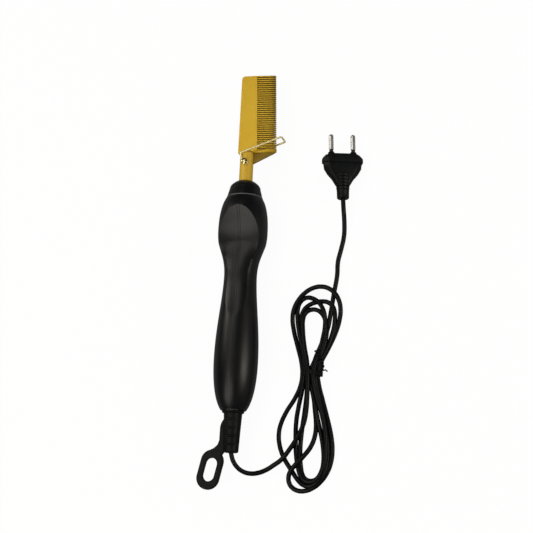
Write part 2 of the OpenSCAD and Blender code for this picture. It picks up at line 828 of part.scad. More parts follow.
module contact_springs() {
    reach = [slip_ring_starts[0] + 0.5, slip_ring_starts[1] + 0.5];
    color(brass) tool() for (i = [0, 1]) mirror([0, 0, i])
        translate([-leaf_w / 2, reach[i], leaf_z])
            cube([leaf_w, holder_start + holder_len + 2 - reach[i], leaf_t]);
}

module swivel_spindle() {
    color(insulation) tool() difference() {
        union() {
            ring(spindle_r, spindle_rear, bearing_front + slip);
            ring(hub_r, bearing_front, hub_end);
        }
        difference() {
            ring(hub_r + 1, clip_start - slip, clip_start + clip_len + slip);
            ring(clip_groove_r, clip_start - 1, clip_start + clip_len + 1);
        }
        ring(cord_r + slip, spindle_rear - 1, bearing_front - tail_depth + slip);
        ring(core_bore_r, bearing_front - tail_depth, hub_end - hub_wall);
    }
}

module swivel_clip() {
    color(steel) tool() difference() {
        ring(clip_r, clip_start, clip_start + clip_len, clip_groove_r + slip);
        translate([0, clip_start + clip_len / 2, clip_r]) cube([4, 2 * clip_len, 2 * clip_r], center = true);
    }
}

module slip_rings() {
    color(brass) tool() for (a = slip_ring_starts)
        ring(slip_ring_d / 2, a, a + slip_ring_len, hub_r + slip);
}

module cord_cores() {
    color(copper) tool() for (side = [-1, 1])
        bar(copper_r, bearing_front - tail_depth + slip, slip_ring_starts[1] + slip_ring_len, side * copper_x);
}

module cord_tail() {
    color(soft_black) tool() ring(cord_r, relief_rear + slip, bearing_front - tail_depth);
}

// ---------------------------------------------------------------- strain relief

module loop_bar(r, half) {
    for (end = [-1, 1]) translate([0, end * half]) circle(r = r);
    square([2 * r, 2 * half], center = true);
}

module strain_relief() {
    collar_rear = relief_front - collar_len;
    color(soft_black) tool() difference() {
        union() {
            turned([[0, relief_front], [relief_collar_r, relief_front],
                [relief_collar_r, collar_rear + 0.4], [relief_d / 2, collar_rear - 0.6],
                [relief_end_d / 2, relief_rear], [0, relief_rear]]);
            translate([0, 0, -loop_t / 2]) linear_extrude(loop_t) {
                translate([loop_x, loop_y]) rotate(-loop_lean) loop_bar(loop_r, loop_half);
                polygon([
                    [-relief_end_d / 2 + 2, arm_top + 1], [-relief_d / 2 + 0.6, arm_top],
                    [arm_left + 1, arm_top - 3.4], [arm_left + 0.1, arm_top - 7],
                    [arm_left, arm_top - 18], [arm_left - 1.4, arm_top - 22],
                    [arm_left - 4.4, arm_top - 24.6], [loop_x - 3, loop_y + 15],
                    [loop_x - 2, loop_y + 8], [loop_x + 8.4, loop_y + 8],
                    [loop_x + 9.6, relief_rear - 1.6], [-relief_end_d / 2 + 1.2, relief_rear + 1.6],
                    [-relief_end_d / 2 + 2, relief_rear + 4]
                ]);
            }
        }
        // grooves round the relief, left of the hanging arm untouched
        for (i = [0 : relief_grooves - 1]) {
            y = first_groove - i * groove_pitch;
            r = relief_d / 2 + (relief_end_d - relief_d) / 2 * (collar_rear - y) / (collar_rear - relief_rear);
            difference() {
                ring(r + 3, y - groove_w / 2, y + groove_w / 2, r - groove_depth);
                translate([-r - 2, y, 0]) cube([4.4, 3 * groove_w, loop_t], center = true);
            }
        }
        translate([loop_x, loop_y, -loop_t]) rotate([0, 0, -loop_lean])
            linear_extrude(2 * loop_t) loop_bar(loop_hole_r, loop_hole_half);
        ring(spindle_r + slip, spindle_rear - slip, relief_front + 1);
        ring(cord_r + slip, relief_rear - 1, spindle_rear + 1);
    }
}

// ---------------------------------------------------------------- cord, hank and tie

module cord_lead() {
    color(soft_black) on_table()
        tube(lead_line, cord_r, 8, [0, -1, 0], hank_heading(hank_start));
}

module cord_hank() {
    color(soft_black) on_table()
        tube(hank_path, cord_r, 6, hank_heading(hank_start), hank_out);
}

module plug_lead() {
    color(soft_black) on_table() tube(plug_lead_line, cord_r, 8, hank_out, plug_dir);
}

module tie_section(grow) {
    left_out = max([for (a = [0 : 360 : hank_stop]) hank_waist(a)]) + cord_r + tie_room + grow;
    right_out = max([for (a = [180 : 360 : hank_stop]) hank_waist(a)]) + cord_r + tie_room + grow;
    low = hank_z - cord_r - 0.1 - grow;
    high = hank_z + strand_step + cord_r + 0.1 + grow;
    r = cord_r + grow;
    for (x = [r - left_out, right_out - r], y = [low + r, high - r])
        translate([x, y]) circle(r = r);
    translate([-left_out, low + r]) square([left_out + right_out, high - low - 2 * r]);
    translate([r - left_out, low]) square([left_out + right_out - 2 * r, high - low]);
}

module hank_tie() {
    tie_w = 4;
    right_out = max([for (a = [180 : 360 : hank_stop]) hank_waist(a)]) + cord_r + tie_room + tie_t;
    high = hank_z + strand_step;
    color(black) on_table() translate([hank_at[0], hank_at[1], 0]) rotate([0, 0, hank_lean]) {
        translate([0, tie_w / 2, 0]) rotate([90, 0, 0]) linear_extrude(tie_w) difference() {
            tie_section(tie_t);
            tie_section(0);
        }
        // its two ends, twisted together and then spread
        translate([right_out - 0.5, 0, high]) rotate([0, 90, 0]) cylinder(r = 1.2, h = 4, $fn = 24);
        for (end = [-1, 1]) translate([right_out + 2.6, end * 0.3, high])
            rotate([0, 93, end * 22]) cylinder(r = 0.7, h = 4.6, $fn = 24);
    }
}

// ---------------------------------------------------------------- plug

module plug_frame() {
    on_table() translate([plug_at[0], plug_at[1], plug_z]) rotate([0, plug_roll, plug_turn]) children();
}

// Six-sided section of the plug, or the same section smaller by inset
module plug_section(inset = 0) {
    half = plug_w / 2 - inset;
    high = plug_t / 2 - inset / 2;
    flat = plug_flat_w / 2 - inset;
    ear = plug_ear_t / 2;
    polygon([
        [half, ear], [flat, high], [-flat, high], [-half, ear],
        [-half, -ear], [-flat, -high], [flat, -high], [half, -ear]
    ]);
}

module plug_extrude(inset = 0) {
    translate([0, plug_len + 1, 0]) rotate([90, 0, 0]) linear_extrude(plug_len + 2) plug_section(inset);
}

module plug_body() {
    half = plug_w / 2;
    step = 1.3;
    neck = plug_relief_len - 2;
    back = plug_len - flange_t;
    color(soft_black) plug_frame() difference() {
        union() {
            intersection() {
                translate([0, 0, -plug_t]) linear_extrude(2 * plug_t) polygon([
                    [-6, neck], [6, neck], [8.7, 17.6], [12.2, 22.4], [15.2, 27],
                    [half - step, back], [half - step, back + 1], [step - half, back + 1],
                    [step - half, back], [-15.2, 27], [-12.2, 22.4], [-8.7, 17.6]
                ]);
                rotate([90, 0, 90]) linear_extrude(2 * plug_w, center = true) polygon([
                    [neck, -4.9], [back + 1, 0.7 - plug_t / 2], [back + 1, plug_t / 2 - 0.7],
                    [neck, 4.9]
                ]);
                plug_extrude(step);
            }
            intersection() {
                translate([0, 0, -plug_t]) linear_extrude(2 * plug_t) polygon([
                    [-half - 1, back], [half + 1, back], [half + 1, plug_len - 3.4],
                    [half - 3, plug_len], [3 - half, plug_len], [-half - 1, plug_len - 3.4]
                ]);
                plug_extrude();
            }
            ring(5.2, 0, 6);
            turned([[0, 5.9], [5.2, 5.9], [5.9, plug_relief_len], [0, plug_relief_len]]);
            for (side = [-1, 1]) translate([side * pin_pitch / 2, 0, 0])
                turned([[0, plug_len - 1], [pin_d / 2 + 1.5, plug_len - 1],
                    [pin_d / 2 + 0.3, plug_len + boss_len], [0, plug_len + boss_len]]);
        }
        for (y = [7.4, 10.2, 13]) difference() {
            ring(9, y - 0.5, y + 0.5, 4.7);
            cube([3, 60, 30], center = true);
        }
        translate([-insert_w / 2 - slip, insert_start - slip, -insert_t / 2 - slip])
            cube([insert_w + 2 * slip, insert_len + 2 * slip, insert_t + 2 * slip]);
        for (side = [-1, 1]) translate([side * pin_pitch / 2, 0, 0])
            ring(sleeve_r + slip, insert_start + insert_len - 1, plug_len + boss_len + 1);
    }
}

module plug_insert() {
    color(insulation) plug_frame() difference() {
        translate([-insert_w / 2, insert_start, -insert_t / 2]) cube([insert_w, insert_len, insert_t]);
        for (side = [-1, 1]) translate([side * pin_pitch / 2, 0, 0])
            ring(pin_root_r + slip, pin_root - slip, sleeve_start + 1);
    }
}

module plug_pins() {
    color(steel) plug_frame() for (side = [-1, 1]) translate([side * pin_pitch / 2, 0, 0]) {
        ring(pin_root_r, pin_root, sleeve_end + 1);
        ring(pin_d / 2, sleeve_end, pin_end - pin_d / 2);
        translate([0, pin_end - pin_d / 2, 0]) sphere(r = pin_d / 2);
    }
}

module pin_sleeves() {
    color(soft_black) plug_frame() for (side = [-1, 1]) translate([side * pin_pitch / 2, 0, 0])
        ring(sleeve_r, sleeve_start, sleeve_end - slip, pin_root_r + slip);
}

comb_head();
neck_tube();
stand_screws();
stand_wire();
heater_core();
heater_sleeve();
heater_bead();
heater_leads();
thermal_fuse();
wire_joints();
lead_wires();
neck_flange();
heat_shield();
insulator_bush();
nose_cap();
trim_ring();
handle_left();
handle_right();
handle_screws();
swivel_bearing();
contact_holder();
contact_springs();
swivel_spindle();
swivel_clip();
slip_rings();
cord_cores();
cord_tail();
strain_relief();
cord_lead();
cord_hank();
hank_tie();
plug_lead();
plug_body();
plug_insert();
plug_pins();
pin_sleeves();
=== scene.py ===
"""Looks of an electric hot comb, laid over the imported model's frame.

A gold toothed head, a black two-part handle, a bright wire stand, and a mains lead in a tied hank.
Pieces are drawn in millimetres about the tool's own axis, or about its foot on the table, with
y = 0 where the handle's bulb is widest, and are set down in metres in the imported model's frame.
"""
import math

import bmesh
import bpy
from bpy.props import FloatProperty, FloatVectorProperty, IntProperty, PointerProperty
from mathutils import Matrix, Vector
from mathutils.geometry import convex_hull_2d


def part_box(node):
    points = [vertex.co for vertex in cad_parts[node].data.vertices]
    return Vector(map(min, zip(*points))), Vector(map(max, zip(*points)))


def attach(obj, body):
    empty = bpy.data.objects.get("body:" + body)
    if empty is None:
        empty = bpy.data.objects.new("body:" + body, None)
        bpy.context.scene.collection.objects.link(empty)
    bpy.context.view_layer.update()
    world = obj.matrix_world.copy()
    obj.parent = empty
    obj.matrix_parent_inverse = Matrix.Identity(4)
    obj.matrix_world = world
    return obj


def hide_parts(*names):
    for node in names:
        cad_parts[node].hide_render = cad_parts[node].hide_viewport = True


bl_info = {
    "name": "Hot Comb",
    "version": (1, 0, 0),
    "blender": (4, 5, 0),
    "location": "View3D > Sidebar > Hot Comb",
    "description": "Dresses the frame of an electric hot comb with its finished pieces",
    "category": "Object",
}

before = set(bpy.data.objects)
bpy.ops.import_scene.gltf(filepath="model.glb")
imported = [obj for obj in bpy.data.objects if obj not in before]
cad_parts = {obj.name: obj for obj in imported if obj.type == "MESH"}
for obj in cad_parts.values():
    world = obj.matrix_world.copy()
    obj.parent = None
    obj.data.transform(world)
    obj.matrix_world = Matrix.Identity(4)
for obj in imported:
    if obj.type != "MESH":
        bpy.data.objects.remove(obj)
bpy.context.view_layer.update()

MM = 0.001

# ---------------------------------------------------------------- places taken from the frame


def millimetres(node):
    """Lowest and highest corner of a node, in millimetres in the frame."""
    low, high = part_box(node)
    return Vector(low) / MM, Vector(high) / MM


ring_low, ring_high = millimetres("trim_ring")
neck_low, neck_high = millimetres("neck_tube")
head_low, head_high = millimetres("comb_head")
cap_high = millimetres("nose_cap")[1]
relief_high = millimetres("strain_relief")[1]
handle_low = millimetres("handle_right")[0]

HANDLE_FRONT = 32.1  # y of the handle's front edge, from where its bulb is widest
SLIP = 0.05  # gap between two pieces that lie against each other
TOOL_X = (neck_low.x + neck_high.x) / 2
TOOL_Y = ring_low.y - HANDLE_FRONT - SLIP
AXIS_Z = (neck_low.z + neck_high.z) / 2
TOOL = Matrix.Translation((TOOL_X, TOOL_Y, AXIS_Z))
TABLE = Matrix.Translation((TOOL_X, TOOL_Y, 0))

NECK_R = (neck_high.x - neck_low.x) / 2
NECK_BACK = neck_low.y - TOOL_Y
HEAD_START = neck_high.y - TOOL_Y + SLIP
HEAD_END = head_high.y - TOOL_Y
HEAD_BACK = head_low.x - TOOL_X
RELIEF_FRONT = relief_high.y - TOOL_Y
CAP_START = HANDLE_FRONT + 2 * SLIP + ring_high.y - ring_low.y
CAP_END = cap_high.y - TOOL_Y
HANDLE_BACK = handle_low.y - TOOL_Y

# The mains lead's route, about the tool's foot on the table: from the strain relief over the
# table, up into the hank, four times round it, and on to the plug
CORD_ROUTE = [
    # from the strain relief to the hank
    (0, -186.7, 18.7), (1.8, -193.2, 17.1), (5.2, -198.4, 14.4), (9.4, -201.3, 11.6),
    (14.2, -202.4, 8.5), (20.3, -201.5, 5.4), (26.3, -198.9, 3.5), (32.9, -194.8, 3.7),
    (40.1, -189.8, 5.4),
    # up through the tie
    (46.3, -182.1, 6.4), (53.6, -170.2, 6.5), (57.8, -160.1, 6.7), (59.7, -149.3, 7.3),
    (60.3, -134.4, 8.7), (60.2, -119.4, 9.8), (59.1, -108.5, 9.5),
    # first arch, small and innermost
    (55.9, -95.1, 7.6), (53.6, -81.3, 5.9), (53, -70.6, 4.1), (54.2, -66.2, 3.1),
    (56.5, -63.6, 2.5), (60.6, -62.2, 2.1), (64.2, -62.7, 2), (68.1, -65.2, 2.1), (71.3, -70, 2.5),
    (73.6, -77.4, 4), (73.9, -86.2, 5.8), (71.8, -96.8, 7.4), (67.2, -108.8, 9.3),
    (64.7, -117.1, 9.9), (65.4, -125, 9.5),
    # down the right, round the lower end and up the left
    (68.6, -138.5, 7.9), (72.6, -150.8, 6.7), (75.8, -164.4, 6), (77.1, -177.3, 5.6),
    (76.9, -190.3, 5.7), (74.6, -199.9, 5.8), (71.4, -204.8, 5.9), (67.6, -207.5, 5.9),
    (63.2, -207.9, 5.8), (59.9, -206.5, 5.6), (56.8, -203.1, 5.2), (53.9, -195.9, 3.8),
    (51.5, -185.4, 2.1), (50.5, -172.4, 2), (50.4, -157.4, 2), (51.9, -145.5, 2.3),
    (54.7, -131.9, 4.1), (56.6, -119.2, 5.9), (56.4, -108.3, 6.2),
    # second arch, which bounds the hole on the right
    (53.5, -94.6, 5.5), (50.1, -82.1, 4.5), (47.7, -69.6, 2.4), (47.6, -60.7, 2),
    (49.1, -56.3, 2.2), (52.3, -53.3, 3), (55.6, -52.3, 4), (60.1, -53.1, 5.3), (65.8, -56.5, 6.2),
    (69.4, -61.1, 6.2), (71.7, -67.5, 5.4), (72, -76.2, 3.5), (70.1, -88, 2.3), (67.8, -98.7, 3),
    (64, -108.6, 5.2), (61.7, -116, 6.2), (62.4, -124.9, 6.3),
    # second time round the lower end
    (65.8, -140.5, 6.2), (68.9, -154.1, 5.5), (71.7, -166.6, 3), (74.1, -179.3, 2),
    (74.8, -191.2, 2), (73.3, -198.9, 2), (69.8, -204.7, 2), (66.7, -206.4, 2), (63.6, -206.6, 2),
    (60.6, -205.5, 2), (57.8, -202.2, 2), (55.8, -194.5, 2), (54.8, -181.6, 2), (55.4, -166.6, 2),
    (57.1, -150.7, 2), (58.3, -135.7, 2.1), (58.5, -120.7, 2.5), (57.4, -107.8, 2.5),
    # third arch, low and wide
    (54.2, -94.2, 2), (51.6, -80.4, 2), (51.1, -68.5, 2), (52.7, -63, 2), (55.8, -59.4, 2),
    (61.9, -56.3, 2), (69.6, -55.2, 2), (74.2, -56.4, 2), (77.6, -59.4, 2), (79.4, -63.8, 2),
    (79.9, -72.7, 2), (78, -84.5, 2.3), (74.4, -95.8, 3.6), (68.6, -108.4, 5.8),
    (65.9, -116.6, 6.2), (66.4, -124.5, 6.1),
    # third time round, with the loose strand on the left
    (69.7, -139.1, 5.1), (73.4, -153.6, 3.6), (76.4, -167.2, 2.1), (78.1, -180, 2),
    (77.9, -191.9, 2.8), (75.8, -200.5, 4.3), (71.9, -207.1, 5.4), (67.3, -210.6, 5.5),
    (63.7, -211.4, 5.2), (59.3, -210.4, 4.3), (54.8, -207, 3), (48.1, -198.4, 2), (40.9, -187.7, 2),
    (37.2, -178.4, 2), (35.9, -168.6, 2), (37.3, -159.8, 2), (41.6, -149.7, 2), (48.7, -137.7, 2),
    (52.8, -127.5, 2.3), (54, -117.7, 2.6), (52.8, -107.8, 2.5),
    # fourth arch, outermost
    (48.9, -94.4, 2), (44.8, -80, 2.2), (43.5, -70.2, 3.1), (44.7, -62.6, 4.7), (48.7, -54.8, 6.1),
    (54.7, -48.2, 6.4), (61.5, -44.3, 6.4), (68.2, -43.3, 6.3), (73.9, -44.6, 6.3),
    (79.4, -48.5, 6), (83.1, -54.2, 5.1), (84.8, -61.7, 3.6), (84.2, -70.6, 2.5), (81.1, -82.1, 2),
    (75.7, -95, 2), (68.9, -109.4, 2.5), (67.2, -116, 2.6), (68.3, -125.9, 2.3),
    # last time round, back up the middle
    (72.1, -139.4, 2), (76.7, -154.7, 2), (80.5, -169.2, 2), (82, -181.1, 2), (81, -191.9, 2),
    (77.9, -200.3, 2), (72.7, -207.6, 2), (65.7, -213, 2), (59.2, -215.1, 2), (53.5, -214.7, 2),
    (49.4, -212.5, 2.2), (47.2, -209.7, 2.7), (46.3, -205.3, 3.8), (47.8, -200, 5.4),
    (51.8, -194.6, 6.3), (58.4, -187.2, 5.7), (63.8, -179.1, 3.7), (66.8, -169.8, 2.3),
    (67.4, -160.8, 2), (65.8, -147, 2), (63.9, -132.1, 2.2), (62.8, -117.1, 2.6),
    (63.9, -107.3, 2.4),
    # up the right side to the open
    (68.8, -93.1, 2), (74, -79.1, 2), (76.2, -65.3, 2), (78.3, -48.4, 2), (80.5, -32.6, 2),
    # over the table to the plug
    (80.8, -20.6, 2.1), (83.1, -9.9, 2.1), (85.4, 1.7, 3.1), (85.9, 12.3, 5.9), (85.5, 24.6, 10),
    (85, 32.5, 10.9),
]

# ---------------------------------------------------------------- shader maths


class Tap:
    """One output of a node, ready for sums in Python."""

    def __init__(self, finish, socket):
        self.finish = finish
        self.socket = socket

    def _with(self, operation, first, second):
        return self.finish.node("ShaderNodeMath", {"operation": operation}, {0: first, 1: second})

    def __add__(self, other):
        return self._with("ADD", self, other)

    def __radd__(self, other):
        return self._with("ADD", other, self)

    def __sub__(self, other):
        return self._with("SUBTRACT", self, other)

    def __rsub__(self, other):
        return self._with("SUBTRACT", other, self)

    def __mul__(self, other):
        return self._with("MULTIPLY", self, other)

    def __rmul__(self, other):
        return self._with("MULTIPLY", other, self)


MIX_SHARE, MIX_FIRST, MIX_SECOND, MIX_RESULT = 0, 6, 7, 2  # a Mix node's sockets for colours


class Finish:
    """A material under construction: its nodes, its sums and its shader."""

    def __init__(self, name):
        self.material = bpy.data.materials.new(name)
        self.material.use_nodes = True
        self.tree = self.material.node_tree
        self.tree.nodes.clear()

    def node(self, kind, settings=None, sockets=None, output=0):
        """Adds a node, sets it up, feeds its sockets, and returns one of its outputs."""
        made = self.tree.nodes.new(kind)
        for key, value in (settings or {}).items():
            setattr(made, key, value)
        for key, value in (sockets or {}).items():
            if isinstance(value, Tap):
                self.tree.links.new(value.socket, made.inputs[key])
            else:
                made.inputs[key].default_value = value
        return Tap(self, made.outputs[output]) if made.outputs else None

    def place(self, scale=(1, 1, 1), turn=(0, 0, 0)):
        """Object coordinates, turned and scaled."""
        spot = self.node("ShaderNodeTexCoord", output="Object")
        return self.node("ShaderNodeMapping", {}, {"Vector": spot, "Scale": scale, "Rotation": turn})

    def noise(self, place, scale, detail=3.0):
        """Noise of a fineness in cycles a metre, unless its place is already scaled."""
        sockets = {"Vector": place, "Scale": scale, "Detail": detail, "Roughness": 0.55}
        return self.node("ShaderNodeTexNoise", {}, sockets)

    def stretch(self, value, low, high, to_low=0.0, to_high=1.0):
        """The value, with what lies between low and high spread from to_low to to_high."""
        sockets = {"Value": value, "From Min": low, "From Max": high, "To Min": to_low, "To Max": to_high}
        return self.node("ShaderNodeMapRange", {}, sockets)

    def tint(self, mask, first, second):
        """Colour first where the mask is 0 and second where it is 1."""
        first, second = [c if isinstance(c, Tap) else (*c, 1) for c in (first, second)]
        sockets = {MIX_SHARE: mask, MIX_FIRST: first, MIX_SECOND: second}
        return self.node("ShaderNodeMix", {"data_type": "RGBA"}, sockets, MIX_RESULT)

    def bump(self, height, strength, depth):
        """A normal bent by a height, whose depth is in metres."""
        return self.node("ShaderNodeBump", {}, {"Height": height, "Strength": strength, "Distance": depth})

    def rays(self):
        """Masks of the rays that come from the camera, from a gloss and through glass."""
        kinds = ("Is Camera Ray", "Is Glossy Ray", "Is Transmission Ray")
        return [self.node("ShaderNodeLightPath", output=kind) for kind in kinds]

    def close(self, **sockets):
        """Ends in the shader, with the given sockets by name."""
        named = {key.replace("_", " "): value for key, value in sockets.items()}
        for key, value in named.items():
            if isinstance(value, tuple) and len(value) == 3:
                named[key] = (*value, 1)
        shader = self.node("ShaderNodeBsdfPrincipled", {}, named)
        self.node("ShaderNodeOutputMaterial", {}, {"Surface": shader})
        return self.material


# ---------------------------------------------------------------- finishes


BRUSHED = (2600, 120, 2600)  # lines along the tool
BLASTED = (900, 900, 900)  # an even grain


def gold_plating(name, light, dark, grain=BRUSHED, rough=0.3, metal=1.0):
    """Satin gold plating: a fine grain, clouds of tone and faint scratches."""
    f = Finish(name)
    lines = f.noise(f.place(scale=grain), 1.0, 4.0)
    clouds = f.noise(f.place(), 60.0, 2.0)
    scratches = f.noise(f.place(scale=(160, 2400, 2400), turn=(0, 0, 0.6)), 1.0, 2.0)
    scratch = f.stretch(scratches, 0.66, 0.72)
    tone = f.stretch(clouds, 0.35, 0.65) * 0.6 + f.stretch(lines, 0.3, 0.7) * 0.4
    return f.close(
        Base_Color=f.tint(tone, dark, light),
        Metallic=metal,
        Roughness=rough + lines * 0.1 + clouds * 0.06 - scratch * 0.05,
        Normal=f.bump(lines + scratch * 0.5, 0.35, 0.00002),
    )


def bright_plating(name, light, dark, metal=1.0):
    """Bright plated wire and screws, with drawing lines and small dull spots."""
    f = Finish(name)
    lines = f.noise(f.place(scale=(300, 300, 900)), 1.0, 3.0)
    spots = f.stretch(f.noise(f.place(), 700.0, 2.0), 0.6, 0.7)
    return f.close(
        Base_Color=f.tint(f.stretch(lines, 0.35, 0.65), dark, light),
        Metallic=metal,
        Roughness=0.16 + spots * 0.08,
        Normal=f.bump(lines, 0.08, 0.00001),
    )


DUST = (0.06, 0.058, 0.055)


def satin_plastic(name, dark, light, rough=(0.27, 0.36), grain=0.5, gloss=0.42):
    """Moulded plastic: a fine spark-eroded grain, soft clouds of gloss, dust and rub marks."""
    f = Finish(name)
    clouds = f.noise(f.place(), 34.0, 3.0)
    fine = f.noise(f.place(), 2600.0, 2.0)
    rubs = f.stretch(f.noise(f.place(scale=(500, 60, 500)), 1.0, 4.0), 0.5, 0.8)
    dust = f.stretch(f.noise(f.place(), 1500.0, 1.0), 0.74, 0.8)
    tone = f.stretch(clouds, 0.3, 0.7) * 0.7 + rubs * 0.3
    shade = f.tint(tone, dark, light)
    return f.close(
        Base_Color=f.tint(dust * 0.12, shade, DUST),
        Roughness=f.stretch(clouds, 0.3, 0.7, *rough) + fine * 0.05 + dust * 0.12 - rubs * 0.05,
        Specular_IOR_Level=gloss,
        Normal=f.bump(fine, grain, 0.000025),
    )


def rubber(name, dark, light, rough=(0.42, 0.54), gloss=0.2):
    """Soft black moulding with a matt skin, faint flow lines and a bloom of grey."""
    f = Finish(name)
    skin = f.noise(f.place(), 1400.0, 3.0)
    flow = f.noise(f.place(scale=(120, 380, 120)), 1.0, 3.0)
    bloom = f.stretch(f.noise(f.place(), 90.0, 4.0), 0.42, 0.7)
    return f.close(
        Base_Color=f.tint(bloom * 0.7 + flow * 0.3, dark, light),
        Roughness=f.stretch(flow, 0.3, 0.7, *rough) + skin * 0.05,
        Specular_IOR_Level=gloss,
        Normal=f.bump(skin * 0.7 + flow * 0.3, 0.4, 0.00003),
    )


def plain_metal(name, light, dark, rough=0.3):
    """Inner metal pieces: drawn or stamped stock with a little tarnish."""
    f = Finish(name)
    lines = f.noise(f.place(scale=(1200, 90, 1200)), 1.0, 3.0)
    stain = f.stretch(f.noise(f.place(), 260.0, 3.0), 0.5, 0.7)
    return f.close(
        Base_Color=f.tint(stain * 0.6 + lines * 0.3, light, dark),
        Metallic=1.0,
        Roughness=rough + lines * 0.12 + stain * 0.1,
        Normal=f.bump(lines, 0.25, 0.00002),
    )


def fired_ceramic(name, light, dark):
    """Unglazed ceramic: chalky, with fine pits."""
    f = Finish(name)
    body = f.noise(f.place(), 900.0, 4.0)
    pits = f.stretch(f.noise(f.place(), 2200.0, 1.0), 0.66, 0.74)
    return f.close(
        Base_Color=f.tint(f.stretch(body, 0.35, 0.7) * 0.7 + pits * 0.3, light, dark),
        Roughness=0.62 + body * 0.14,
        Normal=f.bump(body - pits, 0.5, 0.00004),
    )


def mica_sheet(name, light, dark):
    """Pressed mica: pearly flakes in a brown binder."""
    f = Finish(name)
    flakes = f.node("ShaderNodeTexVoronoi", {}, {"Vector": f.place(scale=(1, 0.3, 1)), "Scale": 900.0})
    haze = f.noise(f.place(), 200.0, 3.0)
    return f.close(
        Base_Color=f.tint(f.stretch(flakes, 0.1, 0.7) * 0.6 + haze * 0.4, light, dark),
        Roughness=0.24 + flakes * 0.3,
        Normal=f.bump(flakes, 0.3, 0.00003),
    )


def pale_plastic(name, light, dark, rough=0.42):
    """Uncoloured technical plastic or insulation, slightly cloudy."""
    f = Finish(name)
    clouds = f.noise(f.place(), 220.0, 3.0)
    fine = f.noise(f.place(), 2400.0, 2.0)
    return f.close(
        Base_Color=f.tint(f.stretch(clouds, 0.35, 0.7), light, dark),
        Roughness=rough + clouds * 0.12,
        Normal=f.bump(fine, 0.3, 0.00002),
    )


def cord_jacket(name, dark, light):
    """The lead's smooth jacket: faint drawing lines, handling marks and dull patches."""
    f = Finish(name)
    marks = f.noise(f.place(), 420.0, 4.0)
    patch = f.noise(f.place(), 55.0, 3.0)
    return f.close(
        Base_Color=f.tint(f.stretch(patch, 0.35, 0.7) * 0.7 + marks * 0.3, dark, light),
        Roughness=f.stretch(patch, 0.3, 0.7, 0.3, 0.4) + marks * 0.06,
        Specular_IOR_Level=0.2,
        Normal=f.bump(marks, 0.3, 0.00003),
    )


# ---------------------------------------------------------------- shapes


MERGE = 0.0005  # points closer than this are one
CREASE = math.radians(25)  # an edge that turns more than this is rounded


def cubic(a, b, c, d, steps):
    """Points on a cubic curve through a and d, the first left out so that curves chain."""
    found = []
    for i in range(1, steps + 1):
        t = i / steps
        s = 1 - t
        weights = (s * s * s, 3 * s * s * t, 3 * s * t * t, t * t * t)
        found.append(tuple(sum(w * p[k] for w, p in zip(weights, (a, b, c, d))) for k in range(2)))
    return found


def rounded(points, radius, steps=8):
    """The same path with each inner corner replaced by an arc."""
    points = [Vector(p) for p in points]
    path = [points[0]]
    for before, corner, after in zip(points, points[1:], points[2:]):
        back = (before - corner).normalized()
        on = (after - corner).normalized()
        half_angle = back.angle(on) / 2
        reach = radius / math.tan(half_angle)
        start = corner + back * reach
        end = corner + on * reach
        centre = corner + (back + on).normalized() * (radius / math.sin(half_angle))
        for i in range(steps + 1):
            path.append(centre + (start - centre).slerp(end - centre, i / steps).normalized() * radius)
    path.append(points[-1])
    return path


def of_kind(geom, kind):
    return [part for part in geom if isinstance(part, kind)]


def ring(bm, points):
    """A closed loop of edges through points."""
    verts = [bm.verts.new(p) for p in points]
    return [bm.edges.new((verts[i - 1], verts[i])) for i in range(len(verts))]


def lathe(outline, steps=96, closed=False):
    """Spins an outline of (radius, y) about the tool's axis."""
    bm = bmesh.new()
    verts = [bm.verts.new((r, y, 0)) for r, y in outline]
    edges = [bm.edges.new(pair) for pair in zip(verts, verts[1:])]
    if closed:
        edges.append(bm.edges.new((verts[-1], verts[0])))
    spun = {"cent": (0, 0, 0), "axis": (0, 1, 0), "angle": 2 * math.pi, "steps": steps, "use_merge": True}
    bmesh.ops.spin(bm, geom=verts + edges, **spun)
    bmesh.ops.remove_doubles(bm, verts=bm.verts, dist=MERGE)
    bmesh.ops.dissolve_degenerate(bm, edges=bm.edges, dist=MERGE)
    bmesh.ops.recalc_face_normals(bm, faces=bm.faces)
    return bm


def softened(bm, edges, width, segments=2):
    """Rounds the given edges."""
    kind = {"affect": "EDGES", "profile": 0.5, "material": -1, "clamp_overlap": True}
    bmesh.ops.bevel(bm, geom=list(edges), offset=width, segments=segments, **kind)
    return bm


def sharp_edges(bm, least=CREASE):
    return [e for e in bm.edges if len(e.link_faces) == 2 and e.calc_face_angle(0) > least]


def plate(outline, low, high, edge, segments=2):
    """A flat plate between two heights, its edges rounded."""
    bm = bmesh.new()
    face = bm.faces.new([bm.verts.new((x, y, low)) for x, y in outline])
    grown = bmesh.ops.extrude_face_region(bm, geom=[face])["geom"]
    bmesh.ops.translate(bm, verts=of_kind(grown, bmesh.types.BMVert), vec=(0, 0, high - low))
    bmesh.ops.recalc_face_normals(bm, faces=bm.faces)
    if edge:
        softened(bm, sharp_edges(bm), edge, segments)
    return bm


def block(low, high):
    """A box between two corners, to cut with."""
    low = Vector(low)
    high = Vector(high)
    bm = bmesh.new()
    place = Matrix.Translation((low + high) / 2) @ Matrix.Diagonal((*(high - low), 1))
    bmesh.ops.create_cube(bm, size=1, matrix=place)
    return bm


